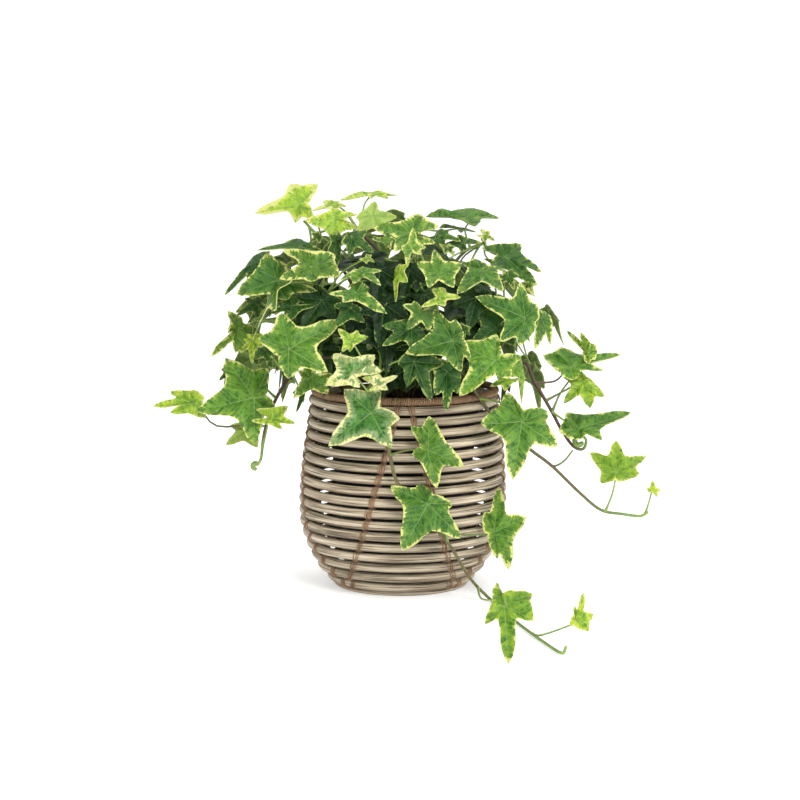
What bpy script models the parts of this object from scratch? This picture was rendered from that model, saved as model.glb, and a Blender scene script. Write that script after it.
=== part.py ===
"""A variegated English ivy in its nursery pot, standing in a round basket of cane hoops.

The front faces -Y, +Z is up, and the origin is the middle of the basket's underside.
Leaves are placed where the photograph shows them: a named leaf holds the pixels of its
vein junction and lobe tips, and how far in front of the pot's axis it hangs.
"""

import math
import random

import bpy
import numpy as np
from mathutils import Vector

# Driving sizes, in metres
CLEARANCE = 0.0003

HOOP_COUNT = 17
HOOP_ROD = 0.0062
HOOP_PITCH = 0.00795
TOP_HOOP_HEIGHT = 0.1341
HOOP_SEGMENTS = 22
HOOP_SIDES = 5
BASKET_LEAN = 0.020
BASKET_LEAN_MIDDLE = 0.070

RIM_ROD = 0.0058
BASE_RADIUS = 0.0490
BASE_THICKNESS = 0.0034
BASE_EDGE = ((-0.0015, 0.0), (0.0, 0.0014), (-0.0003, 0.0026), (-0.0012, BASE_THICKNESS))
RIB_ROD = 0.0030
LASHING_WIDTH = 0.0048
LASHING_THICKNESS = 0.0011
LASHING_DIP = 0.0010
RIB_STATIONS = (15, 13, 11, 8, 5, 2, 0)
LEG_COUNT = 8
LEG_OFFSET_AT_TOP = 0.0050
LEG_OFFSET_SLOPE = 0.265
LEG_WIDEST_SWING = math.radians(40.5)

LINER_TOP = 0.1340
LINER_RIM_RADIUS = 0.0558
LINER_TOP_RADIUS = 0.0548
LINER_BOTTOM_RADIUS = 0.0405
LINER_WALL = 0.0010
LINER_LIP_HEIGHT = 0.0050
LINER_LIP_SLANT = 0.0006
LINER_LIP_DRAFT = 0.0004
SOIL_TOP = 0.1220
SOIL_SHOULDER = 0.0030
SOIL_SHOULDER_WIDTH = 0.0100
SOIL_CROWN = 0.0012
SOIL_CROWN_INSET = 0.0300
SOIL_SEGMENTS = 20
SOIL_HOLE_DEPTH = 0.0140
SOIL_HOLE_MOUTH = 0.0100

BLADE_THICKNESS = 0.0007
PETIOLE_RADIUS = 0.0008
PETIOLE_TIP_RADIUS = 0.0003
STEM_RADIUS = 0.0014
STEM_TIP_RADIUS = 0.0010

# Outer radius of the basket by height, from the foot to the rim
BASKET_PROFILE = (
    (0.0030, 0.0500), (0.0069, 0.0537), (0.0150, 0.0606), (0.0225, 0.0652),
    (0.0330, 0.0702), (0.0450, 0.0737), (0.0600, 0.0749), (0.0780, 0.0744),
    (0.0950, 0.0728), (0.1120, 0.0702), (0.1260, 0.0682), (0.1420, 0.0676),
)

# Where the photograph was taken from: metres, degrees and pixels
EYE = Vector((-0.0021, -1.5, 0.342))
EYE_PITCH = math.radians(7.94)
FRAME_MIDDLE = 400
PIXELS_PER_SLOPE = 2110

# The crown of leaves fills a round space about this middle, with these half sizes
CROWN_MIDDLE = Vector((-0.012, 0.0, 0.175))
CROWN_REACH = Vector((0.125, 0.092, 0.108))

# Lobes of an ivy leaf: angle from the main lobe in degrees, and length against the main lobe
LATERAL_LOBE = (65, 0.68)
BASAL_LOBE = (124, 0.50)
LOBE_SWING = 46
NOTCH_BY_MAIN = 0.46
NOTCH_BY_BASAL = 0.70
NOTCH_OF_LONGER = 0.08
NOTCH_OF_CHORD = 0.92
SHOULDER_ANGLE = 153
SHOULDER_LENGTH = 0.30
SINUS_LENGTH = 0.20
FULL_AT_PETIOLE = 0.4
PETIOLE_END = 0.10
PETIOLE_SHARE = 0.9
TIP_DROOP = 0.10
NOTCH_LIFT = 0.03
ELBOW_SHARE = 0.45
ELBOW_DROP = 0.12
ELBOW_SINK = 0.08

FORWARD = Vector((0.0, math.cos(EYE_PITCH), -math.sin(EYE_PITCH)))
RIGHT = Vector((1.0, 0.0, 0.0))
UP = RIGHT.cross(FORWARD)


def ray(pixel):
    """Direction from the eye through a pixel of the photograph."""
    across = (pixel[0] - FRAME_MIDDLE) / PIXELS_PER_SLOPE
    down = (pixel[1] - FRAME_MIDDLE) / PIXELS_PER_SLOPE
    return FORWARD + RIGHT * across - UP * down


def seen_on_plane(pixel, point, normal):
    """The point that a pixel shows on a plane."""
    direction = ray(pixel)
    return EYE + direction * ((point - EYE).dot(normal) / direction.dot(normal))


def seen_at(pixel, front):
    """The point that a pixel shows at a distance in front of the pot's axis."""
    return seen_on_plane(pixel, Vector((0.0, -front, 0.0)), Vector((0.0, 1.0, 0.0)))


def seen_on_floor(pixel, height):
    return seen_on_plane(pixel, Vector((0.0, 0.0, height)), Vector((0.0, 0.0, 1.0)))


def crown_front(pixel, share):
    """How far forward the crown bulges where a pixel shows it; share 1 is its surface."""
    middle = seen_at(pixel, 0.0) - CROWN_MIDDLE
    spread = (middle.x / CROWN_REACH.x) ** 2 + (middle.z / CROWN_REACH.z) ** 2
    return share * CROWN_REACH.y * math.sqrt(max(0.02, 1.0 - spread))


def smooth_route(points, steps):
    """Points along a Catmull-Rom curve through the route's own points."""
    points = [Vector(p) for p in points]
    padded = [points[0] * 2 - points[1]] + points + [points[-1] * 2 - points[-2]]
    curve = []
    for a, b, c, d in zip(padded, padded[1:], padded[2:], padded[3:]):
        for step in range(steps):
            t = step / steps
            curve.append(
                0.5 * (2 * b + (c - a) * t + (2 * a - 5 * b + 4 * c - d) * t**2
                       + (3 * b - a - 3 * c + d) * t**3)
            )
    curve.append(points[-1])
    return curve


def basket_radius(height):
    heights, radii = zip(*BASKET_PROFILE)
    return float(np.interp(height, heights, radii))


def basket_axis(height):
    """The hand-made basket leans a touch to its right as it rises."""
    return (height - BASKET_LEAN_MIDDLE) * BASKET_LEAN


def hoop_height(number):
    return TOP_HOOP_HEIGHT - HOOP_PITCH * number


def material(name, colour, roughness):
    made = bpy.data.materials.new(name)
    made.use_nodes = True
    shader = made.node_tree.nodes["Principled BSDF"]
    shader.inputs["Base Color"].default_value = (*colour, 1.0)
    shader.inputs["Roughness"].default_value = roughness
    shader.inputs["Metallic"].default_value = 0.0
    made.diffuse_color = (*colour, 1.0)
    return made


def solid(name, points, faces, finish, smooth=False):
    mesh = bpy.data.meshes.new(name)
    mesh.from_pydata([tuple(p) for p in points], [], faces)
    mesh.materials.append(finish)
    if smooth:
        mesh.shade_smooth()
        mesh.set_sharp_from_angle(angle=math.radians(40))
    made = bpy.data.objects.new(name, mesh)
    bpy.context.scene.collection.objects.link(made)
    return made


def ring_faces(rings, sides, closed):
    """Faces between rings of points; an open run of rings is capped at both ends."""
    faces = []
    for ring in range(rings if closed else rings - 1):
        here = ring * sides
        there = (ring + 1) % rings * sides
        for side in range(sides):
            after = (side + 1) % sides
            faces.append((here + side, here + after, there + after, there + side))
    if not closed:
        faces.append(tuple(reversed(range(sides))))
        faces.append(tuple((rings - 1) * sides + side for side in range(sides)))
    return faces


def turned_round(faces):
    return [tuple(reversed(face)) for face in faces]


def tube(route, radii, sides, turn=0.0):
    """A closed tube along a route, with its rings carried on without twisting."""
    points = []
    across = None
    for place, centre in enumerate(route):
        ahead = route[min(place + 1, len(route) - 1)] - route[max(place - 1, 0)]
        ahead.normalize()
        if across is None:
            across = ahead.orthogonal()
        across = (across - ahead * across.dot(ahead)).normalized()
        other = ahead.cross(across)
        for side in range(sides):
            angle = turn + math.tau * side / sides
            points.append(
                centre + (across * math.cos(angle) + other * math.sin(angle)) * radii[place]
            )
    return points, ring_faces(len(route), sides, closed=False)


def turned(name, outline, segments, finish):
    """A solid turned about Z from an outline of (radius, height) that runs up its outer side."""
    points = []
    for segment in range(segments):
        angle = math.tau * segment / segments
        points += [
            Vector((radius * math.cos(angle), radius * math.sin(angle), height))
            for radius, height in outline
        ]
    count = len(outline)
    faces = []
    for segment in range(segments):
        here = segment * count
        there = (segment + 1) % segments * count
        for place in range(count - 1):
            faces.append((here + place, there + place, there + place + 1, here + place + 1))
    faces.append(tuple(reversed([segment * count for segment in range(segments)])))
    faces.append(tuple(segment * count + count - 1 for segment in range(segments)))
    return solid(name, points, faces, finish, smooth=True)


def hoop_ring(name, radius, height, rod, finish):
    """A cane bent round into a hoop; radius is that of the rod's middle line."""
    centre = Vector((basket_axis(height), 0.0, height))
    points = []
    for segment in range(HOOP_SEGMENTS):
        angle = math.tau * segment / HOOP_SEGMENTS
        outward = Vector((math.cos(angle), math.sin(angle), 0.0))
        for side in range(HOOP_SIDES):
            around = math.tau * side / HOOP_SIDES
            reach = outward * (radius + rod / 2 * math.cos(around))
            points.append(centre + reach + Vector((0.0, 0.0, rod / 2 * math.sin(around))))
    faces = turned_round(ring_faces(HOOP_SEGMENTS, HOOP_SIDES, closed=True))
    return solid(name, points, faces, finish, smooth=True)


def hoops(finish):
    for number in range(HOOP_COUNT):
        height = hoop_height(number)
        radius = basket_radius(height) - HOOP_ROD / 2
        hoop_ring(f"hoop_{number + 1:02d}", radius, height, HOOP_ROD, finish)


def rim_binding(finish):
    """The wrapped cord that closes the basket's mouth, just above the top hoop."""
    height = TOP_HOOP_HEIGHT + (HOOP_ROD + RIM_ROD) / 2 + CLEARANCE
    radius = basket_radius(height) - HOOP_ROD / 2
    hoop_ring("rim_binding", radius, height, RIM_ROD, finish)


def base_disc(finish):
    """The woven bottom, flat underneath, with its bound edge rounded."""
    outline = [(BASE_RADIUS + inset, height) for inset, height in BASE_EDGE]
    disc = turned("base_disc", outline, HOOP_SEGMENTS, finish)
    disc.location.x = basket_axis(0.0)
    return disc


def leg_angle(leg, height):
    """Where round the basket a leg stands: the slanted legs open downwards in pairs."""
    pair, side = divmod(leg, 2)
    offset = LEG_OFFSET_AT_TOP + (TOP_HOOP_HEIGHT - height) * LEG_OFFSET_SLOPE
    swing = min(math.asin(offset / basket_radius(height)), LEG_WIDEST_SWING)
    return -math.pi / 2 + pair * math.tau / (LEG_COUNT / 2) + (swing if side else -swing)


def rod_middle(place):
    """(radius, height) of the hoops' middle line; a half place lies between two hoops."""
    height = hoop_height(place)
    return np.array((basket_radius(height) - HOOP_ROD / 2, height))


def leg_point(leg, place, outward):
    """A point on a leg, measured square to the basket's side from the hoops' middle line."""
    along = rod_middle(max(place - 0.5, 0)) - rod_middle(min(place + 0.5, HOOP_COUNT - 1))
    square = np.array((along[1], -along[0])) / np.hypot(*along)
    radius, height = rod_middle(place) + square * outward
    angle = leg_angle(leg, hoop_height(place))
    return Vector((
        basket_axis(height) + radius * math.cos(angle), radius * math.sin(angle), height
    ))


def inset_at(place):
    """How far inside the hoops' middle line a rib stands, clear of their flat facets."""
    facet_inset = 1.0 - math.cos(math.pi / HOOP_SEGMENTS)
    return (HOOP_ROD + RIB_ROD) / 2 + CLEARANCE + facet_inset * rod_middle(place)[0]


def ribs(finish):
    """The stakes inside the hoops, to which the lashings tie them."""
    for leg in range(LEG_COUNT):
        last = HOOP_COUNT - 1
        radius = rod_middle(last)[0] - inset_at(last)
        angle = leg_angle(leg, hoop_height(last))
        route = [
            Vector((
                basket_axis(height) + radius * math.cos(angle), radius * math.sin(angle), height
            ))
            for height in (BASE_THICKNESS + CLEARANCE, hoop_height(last) + HOOP_ROD / 2)
        ]
        route += [leg_point(leg, place, -inset_at(place)) for place in RIB_STATIONS]
        points, faces = tube(route, [RIB_ROD / 2] * len(route), 4)
        solid(f"rib_{leg + 1}", points, faces, finish)


def lashings(finish):
    """The bindings over the hoops, one strip a leg, dipping into every gap."""
    for leg in range(LEG_COUNT):
        points = []
        for station in range(2 * HOOP_COUNT - 1):
            place = station / 2
            lift = HOOP_ROD / 2 + CLEARANCE - (station % 2) * LASHING_DIP
            inner = leg_point(leg, place, lift)
            outer = leg_point(leg, place, lift + LASHING_THICKNESS)
            angle = leg_angle(leg, hoop_height(place))
            half = Vector((-math.sin(angle), math.cos(angle), 0.0)) * LASHING_WIDTH / 2
            points += [inner - half, inner + half, outer + half, outer - half]
        faces = ring_faces(2 * HOOP_COUNT - 1, 4, closed=False)
        solid(f"lashing_{leg + 1}", points, faces, finish)


def liner(finish):
    """The black nursery pot, open at the top, with a rolled lip."""
    floor = BASE_THICKNESS + CLEARANCE
    lip_under = LINER_TOP - LINER_LIP_HEIGHT
    outline = (
        (LINER_BOTTOM_RADIUS, floor),
        (LINER_TOP_RADIUS, lip_under),
        (LINER_RIM_RADIUS, lip_under + LINER_LIP_SLANT),
        (LINER_RIM_RADIUS, LINER_TOP),
        (LINER_TOP_RADIUS - LINER_WALL, LINER_TOP),
        (LINER_TOP_RADIUS - LINER_WALL - LINER_LIP_DRAFT, lip_under),
        (LINER_BOTTOM_RADIUS - LINER_WALL, floor + LINER_WALL),
    )
    return turned("liner_pot", outline, HOOP_SEGMENTS, finish)


def soil(finish, roots):
    """Potting soil that fills the liner, with a plain hole for each rooted stem."""
    floor = BASE_THICKNESS + CLEARANCE * 2 + LINER_WALL
    slope = (LINER_TOP_RADIUS - LINER_BOTTOM_RADIUS) / (LINER_TOP - LINER_LIP_HEIGHT)
    bottom = LINER_BOTTOM_RADIUS - LINER_WALL - CLEARANCE * 2
    shoulder = SOIL_TOP - SOIL_SHOULDER
    top = bottom + (shoulder - floor) * slope
    outline = (
        (bottom, floor), (top, shoulder), (top - SOIL_SHOULDER_WIDTH, SOIL_TOP),
        (top - SOIL_CROWN_INSET, SOIL_TOP + SOIL_CROWN),
    )
    bed = turned("soil", outline, SOIL_SEGMENTS, finish)
    for number, (root, radius) in enumerate(roots):
        bottom = Vector((root.x, root.y, SOIL_TOP - SOIL_HOLE_DEPTH))
        mouth = Vector((root.x, root.y, SOIL_TOP + SOIL_HOLE_MOUTH))
        points, faces = tube([bottom, mouth], [radius + CLEARANCE * 2] * 2, 6)
        cutter = solid(f"root_hole_{number + 1}", points, faces, finish)
        cutter.hide_render = True
        cutter.display_type = "WIRE"
        cut = bed.modifiers.new(cutter.name, "BOOLEAN")
        cut.operation = "DIFFERENCE"
        cut.object = cutter
    return bed


class Leaf:
    """A leaf by its vein junction, the way its face looks and the spans to its lobe tips.

    The main lobe's span comes first. stalk holds the pixels where its petiole leaves the
    stem and where it bends, on a leaf whose petiole shows.
    """

    def __init__(self, junction, face, spans, stalk=None, full=0.0):
        self.junction = junction
        self.face = face
        self.stalk = stalk
        self.full = full
        self.length = spans[0].length
        self.main = spans[0].normalized()
        self.side = face.cross(self.main)
        self.lobes = self.sorted_lobes(spans)

    def sorted_lobes(self, spans):
        """(angle, length) of the five lobes, with the unseen ones as the leaf's kind has them."""
        places = [0, -LATERAL_LOBE[0], LATERAL_LOBE[0], -BASAL_LOBE[0], BASAL_LOBE[0]]
        lengths = [1.0] + [LATERAL_LOBE[1]] * 2 + [BASAL_LOBE[1]] * 2
        lobes = {place: (place, self.length * part) for place, part in zip(places, lengths)}
        free = places[1:]
        for span in spans[1:]:
            angle = math.degrees(math.atan2(span.dot(self.side), span.dot(self.main)))
            place = min(free, key=lambda p: abs(p - angle))
            free.remove(place)
            reach = min(max(angle, place - LOBE_SWING), place + LOBE_SWING)
            lobes[place] = (reach, span.length)
        return sorted(lobes.values())

    def outline(self):
        """(angle, distance from the junction, lift) round the blade's cut edge."""
        filled = self.full * FULL_AT_PETIOLE
        shoulder = self.length * (SHOULDER_LENGTH + filled)
        edge = [(-180, self.length * (SINUS_LENGTH + filled), 0.0)]
        edge.append((min(-SHOULDER_ANGLE, (self.lobes[0][0] - 180) / 2), shoulder, 0.0))
        for place, (angle, length) in enumerate(self.lobes):
            if place:
                before, short = self.lobes[place - 1]
                of_shorter = self.full + (NOTCH_BY_MAIN if place in (2, 3) else NOTCH_BY_BASAL)
                notch = min(length, short) * of_shorter + max(length, short) * NOTCH_OF_LONGER
                halfway = math.cos(math.radians(angle - before) / 2) * 2 / (1 / length + 1 / short)
                notch = min(notch, halfway * NOTCH_OF_CHORD)
                lift = self.length * NOTCH_LIFT
                edge.append(((angle + before) / 2, notch, lift))
            edge.append((angle, length, -TIP_DROOP * length))
        edge.append((max(SHOULDER_ANGLE, (self.lobes[-1][0] + 180) / 2), shoulder, 0.0))
        return edge

    def blade(self):
        """A thin closed blade; both faces are split into the same triangles."""
        half = self.face * BLADE_THICKNESS / 2
        flat = [self.junction]
        for angle, distance, lift in self.outline():
            turn = math.radians(angle)
            reach = self.main * math.cos(turn) + self.side * math.sin(turn)
            flat.append(self.junction + reach * distance + self.face * lift)
        count = len(flat) - 1
        points = [p + half for p in flat] + [p - half for p in flat]
        faces = []
        for place in range(count):
            here = 1 + place
            after = 1 + (place + 1) % count
            under = count + 1
            faces.append((0, here, after))
            faces.append((under, under + after, under + here))
            faces.append((here, under + here, under + after, after))
        return points, faces

    def petiole(self, stem):
        """The leaf's stalk, from the stem point that suits it to the vein junction."""
        end = self.junction - self.main * self.length * PETIOLE_END
        if self.stalk:
            leaving, bend = self.stalk
            sight = ray(leaving).normalized()
            start = min(stem, key=lambda p: sight.cross(p - EYE).length)
            elbow = seen_at(bend, -(start.y + end.y) / 2)
        else:
            wanted = self.length * PETIOLE_SHARE
            start = min(stem, key=lambda p: abs((p - self.junction).length - wanted))
            span = (start - end).length
            elbow = end.lerp(start, ELBOW_SHARE)
            elbow -= (self.main * ELBOW_DROP + self.face * ELBOW_SINK) * span
        route = [start, elbow, end]
        return tube(route, [PETIOLE_RADIUS, PETIOLE_RADIUS, PETIOLE_TIP_RADIUS], 3)


def seen(at, *tips, front=None, share=1.0, lean=(0.0, 0.35), floor=None, stalk=None, full=0.0):
    """A leaf where the photograph shows it: the pixels of its junction and its tips.

    front is its distance before the pot's axis, or share its depth in the crown, or
    floor its height over the surface in front of the pot. lean tips its face: to the
    right, and up, against facing the viewer. full is how shallow the notches are.
    """
    face = (-FORWARD + RIGHT * lean[0] + UP * lean[1]).normalized()
    if floor is not None:
        junction = seen_on_floor(at, floor)
    else:
        junction = seen_at(at, crown_front(at, share) if front is None else front)
    spans = [seen_on_plane(tip, junction, face) - junction for tip in tips]
    return Leaf(junction, face, spans, stalk, full)


KNUCKLE_RADIUS = 0.0040
KNUCKLE_TOP_RADIUS = 0.0030
CROWN_BASE = (0.002, 0.004, 0.124)
STRAIGHT_STEM = 0.0080
BARE_STEM_REACH = 0.060
BARE_STEM_NODES = 6
ROOTS = {
    "crown": (Vector((*CROWN_BASE[:2], 0.0)), 0.0042),
    "left_trail": (Vector((-0.034, -0.022, 0.0)), STEM_RADIUS),
    "right_upper_trail": (Vector((0.038, -0.018, 0.0)), STEM_RADIUS),
    "right_lower_trail": (Vector((0.034, -0.030, 0.0)), STEM_RADIUS),
    "front_trail": (Vector((-0.012, -0.042, 0.0)), STEM_RADIUS),
}


def root_start(name):
    """The lowest points of a stem: inside its hole in the soil, at the mouth and above it."""
    root = ROOTS[name][0]
    deep = SOIL_TOP - SOIL_HOLE_DEPTH + CLEARANCE * 2
    heights = (deep, SOIL_TOP + SOIL_CROWN, SOIL_TOP + STRAIGHT_STEM)
    return [Vector((root.x, root.y, height)) for height in heights]


CROWN_STEMS = (
    ((-0.020, -0.004, 0.185), (-0.048, -0.010, 0.236), (-0.070, -0.012, 0.262)),
    ((-0.028, -0.016, 0.170), (-0.068, -0.026, 0.192), (-0.105, -0.020, 0.192)),
    ((-0.024, -0.030, 0.158), (-0.056, -0.052, 0.170), (-0.084, -0.046, 0.160)),
    ((-0.006, -0.036, 0.156), (-0.018, -0.066, 0.160), (-0.024, -0.080, 0.150)),
    ((0.014, -0.034, 0.168), (0.034, -0.060, 0.184), (0.050, -0.070, 0.170)),
    ((0.034, -0.020, 0.176), (0.066, -0.030, 0.204), (0.088, -0.024, 0.196)),
    ((0.016, -0.004, 0.196), (0.040, -0.006, 0.236), (0.058, -0.003, 0.246)),
    ((0.006, -0.020, 0.186), (0.006, -0.034, 0.234), (0.014, -0.036, 0.248)),
    ((-0.008, 0.002, 0.200), (-0.0156, -0.002, 0.236), (-0.030, -0.002, 0.2525), (-0.038, 0.0, 0.264)),
    ((-0.024, -0.022, 0.180), (-0.052, -0.044, 0.214), (-0.072, -0.044, 0.224)),
    ((-0.026, 0.022, 0.176), (-0.056, 0.044, 0.204), (-0.082, 0.050, 0.196)),
    ((0.000, 0.032, 0.176), (-0.006, 0.062, 0.208), (-0.008, 0.082, 0.190)),
    ((0.026, 0.024, 0.180), (0.052, 0.044, 0.210), (0.072, 0.050, 0.196)),
    ((0.006, 0.014, 0.200), (0.010, 0.024, 0.240), (0.013, 0.028, 0.254)),
)

CROWN_LEAVES = {
    "left_star": seen(
        (289, 349), (343, 317), (281, 312), (328, 370), (258, 338), (288, 377), share=1.12
    ),
    "grey_left": seen((353, 373), (333, 353), (375, 353), (381, 370), (326, 384), (360, 387)),
    "grey_small": seen((378, 384), (398, 375), (388, 390), (368, 389), (362, 377), (380, 374)),
    "pale_low": seen((352, 342), (338, 328), (368, 336), (342, 352), share=0.95),
    "dark_under_star": seen(
        (311, 377), (293, 397), (328, 393), (332, 373), (298, 370), share=0.86
    ),
    "edge_on_low_left": seen((301, 392), (299, 412), front=0.052, lean=(2.5, 0.2)),
    "dark_over_rim": seen((414, 362), (431, 400), (398, 361), (407, 386), share=0.97),
    "narrow_over_rim": seen((432, 366), (434, 398), share=0.90, lean=(1.5, 0.1)),
    "dark_hanging": seen(
        (447, 372), (447, 411), (435, 395), (459, 393), front=0.082, lean=(0.3, 0.1), full=0.2
    ),
    "dark_middle": seen((411, 329), (382, 345), (382, 325), (430, 343), (431, 312), share=0.92),
    "folded_middle": seen((420, 313), (408, 328), (440, 303), share=0.98, lean=(0.8, 0.8)),
    "mid_right": seen((453, 341), (405, 351), (435, 309), (461, 371), (456, 320), share=1.06),
    "round_small": seen((464, 328), (458, 340), share=1.0),
    "bright_right": seen(
        (495, 361), (459, 395), (457, 342), (496, 333), (522, 355), (510, 378), share=1.10
    ),
    "dark_right": seen((496, 328), (470, 345), (520, 300), (478, 310), (515, 345), share=0.80),
    "far_right": seen(
        (525, 318), (478, 295), (522, 281), (539, 306), (520, 345), share=1.15, lean=(0.35, 0.2)
    ),
    "far_right_edge": seen((541, 318), (538, 348), (553, 344), share=0.9, lean=(1.0, 0.3)),
    "star_high": seen(
        (438, 275), (434, 248), (462, 262), (454, 287), (428, 287), (417, 260), share=1.06
    ),
    "pale_high": seen(
        (440, 297), (461, 296), (421, 306), (432, 288), (445, 306), share=1.02, lean=(0.0, 0.9)
    ),
    "top_big": seen(
        (411, 233), (373, 226), (417, 211), (439, 224), (436, 240), share=1.0, lean=(0.0, 0.6)
    ),
    "narrow_star": seen((412, 248), (413, 227), (401, 247), (426, 247), (411, 267), share=1.0),
    "dark_top_right": seen(
        (440, 236), (461, 239), (440, 228), (421, 238), share=0.8, lean=(0.0, 1.0)
    ),
    "dark_top_right_low": seen((462, 244), (445, 243), (482, 244), (462, 252), share=0.8),
    "flat_top_right": seen(
        (467, 218), (426, 212), (499, 215), (448, 208), (475, 226), (452, 216), front=0.0,
        lean=(0.0, 2.4), stalk=((463, 240), (465, 230)), full=0.3,
    ),
    "small_top_right": seen(
        (485, 236), (495, 240), (476, 234), (480, 229), (490, 231), front=0.020, lean=(0.0, 0.6)
    ),
    "long_right": seen(
        (505, 257), (543, 269), (538, 283), (482, 247), front=0.030, lean=(0.2, 0.7)
    ),
    "small_right": seen((528, 284), (534, 296), front=0.030),
    "folded_right": seen(
        (482, 270), (457, 290), (503, 290), (463, 262), (500, 266), share=0.95, lean=(0.0, 1.1)
    ),
    "behind_star_high": seen((448, 248), (455, 256), (439, 243), share=0.9),
    "behind_right": seen((508, 275), (515, 290), (503, 268), share=0.9),
    "dark_low_right": seen((505, 380), (490, 386), (520, 378), share=0.95),
    "olive_low_right": seen((517, 366), (526, 402), front=0.040, lean=(2.3, 0.7)),
    "top_left_star": seen(
        (299, 205), (254, 210), (291, 182), (318, 183), (295, 221), front=0.012, lean=(0.0, 0.5)
    ),
    "edge_on_top_left": seen((300, 246), (257, 247), (323, 249), share=0.9, lean=(0.0, 2.6)),
    "small_top_left": seen((318, 236), (309, 243), share=0.8),
    "large_dark_left": seen(
        (277, 281), (236, 292), (268, 252), (317, 290), (285, 300), share=0.95, full=0.15
    ),
    "front_left": seen(
        (312, 267), (340, 274), (283, 248), (334, 252), (279, 277), (312, 281), share=1.1,
        lean=(0.0, 0.5), full=0.7,
    ),
    "edge_on_left": seen(
        (260, 263), (221, 291), (238, 270), (246, 280), front=0.024, lean=(-1.2, 1.6)
    ),
    "edge_on_left_long": seen((278, 288), (249, 337), share=1.0, lean=(-4.2, 2.4)),
    "small_far_left": seen((258, 305), (236, 314), front=0.030, lean=(0.0, 0.8)),
    "folded_far_left": seen(
        (238, 328), (212, 354), (236, 352), (229, 333), front=0.028, lean=(0.5, 0.8)
    ),
    "yellow_left": seen((252, 340), (252, 363), (240, 352), (263, 354), front=0.034),
    "dark_left": seen(
        (292, 306), (269, 312), (317, 300), (290, 320), share=0.9, lean=(0.0, 0.8)
    ),
    "dark_left_low": seen((266, 350), (272, 369), share=0.8),
    "top_pale": seen(
        (335, 219), (304, 219), (334, 238), (357, 226), (334, 208), (357, 214), share=0.9, full=0.25
    ),
    "top_underside": seen(
        (373, 216), (354, 236), (380, 229), (397, 216), (356, 217), (375, 200), share=0.9, full=0.25
    ),
    "top_thin": seen((335, 205), (312, 209), (346, 205), share=0.7, lean=(0.0, 1.8)),
    "top_edge_on": seen(
        (373, 195), (398, 192), (341, 198), front=-0.010, lean=(0.0, 3.0),
        stalk=((361, 232), (364, 206)),
    ),
    "high_left": seen((352, 238), (374, 252), (345, 233), (341, 243), share=0.95),
    "high_small": seen((367, 258), (375, 262), (359, 259), share=0.9),
    "high_middle": seen((388, 242), (372, 238), (401, 245), (386, 248), share=0.95),
    "flat_left": seen(
        (362, 272), (381, 283), (340, 277), (364, 266), share=1.02, lean=(0.0, 1.6)
    ),
    "long_middle": seen(
        (356, 293), (387, 311), (329, 293), (343, 302), (369, 286), share=1.05, lean=(0.0, 0.8)
    ),
    "dark_inner_left": seen((350, 308), (335, 326), (365, 322), share=0.9),
    "upright_left": seen((336, 241), (339, 271), share=0.9, lean=(2.5, 0.0)),
    "deep_middle": seen((380, 270), (376, 306), share=0.72),
    "deep_low_middle": seen((385, 305), (378, 346), share=0.75),
    "light_strip": seen((400, 272), (392, 301), share=0.9, lean=(-2.3, 0.65)),
    "inner_high": seen((410, 270), (402, 300), share=0.7),
    "inner_right": seen((476, 298), (468, 330), (500, 305), (452, 305), share=0.75),
    "inner_left": seen((322, 300), (300, 330), share=0.75),
}

LEFT_TRAIL_LEAVES = {
    "left_large": seen(
        (254, 398), (195, 409), (225, 356), (254, 442), (268, 368), (275, 406), front=0.045
    ),
    "left_young": seen(
        (272, 419), (295, 423), (288, 406), (282, 429), (251, 420), (256, 409), front=0.056
    ),
    "left_far": seen(
        (194, 403), (152, 404), (170, 390), (170, 412), (194, 389), front=0.030, lean=(0.0, 0.6),
        stalk=((267, 424), (217, 426)),
    ),
    "left_underside": seen((246, 430), (225, 444), (230, 425), (257, 447), (262, 425), front=0.030),
    "left_bit": seen((229, 372), (219, 380), (224, 388), front=0.030),
}

RIGHT_UPPER_LEAVES = {
    "right_high": seen(
        (571, 368), (622, 350), (561, 345), (543, 352), (604, 367), (574, 377), front=0.030,
        lean=(0.0, 1.1), stalk=((536, 384), (555, 381)),
    ),
    "right_hook": seen(
        (587, 355), (567, 329), (581, 331), (591, 342), (584, 360), (592, 357), front=0.027,
        stalk=((554, 410), (563, 389)),
    ),
    "right_double": seen(
        (583, 382), (564, 402), (605, 396), (590, 407), front=0.022, lean=(0.0, 0.5)
    ),
    "right_wide": seen(
        (579, 429), (632, 408), (568, 410), (559, 428), (602, 438), (580, 437), front=0.044,
        lean=(0.0, 1.3), stalk=((554, 413), (566, 422)), full=0.1,
    ),
}

RIGHT_LOWER_LEAVES = {
    "right_front_star": seen(
        (522, 422), (513, 479), (481, 423), (558, 445), (508, 391), (548, 410), front=0.064
    ),
    "right_tip_leaf": seen(
        (616, 473), (616, 439), (590, 451), (647, 455), (640, 473), front=0.022,
        stalk=((604, 511), (612, 495)),
    ),
    "right_tiny": seen(
        (652, 490), (653, 480), (661, 490), (646, 489), (657, 497), front=0.022,
        stalk=((645, 513), (649, 502)),
    ),
}

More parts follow.
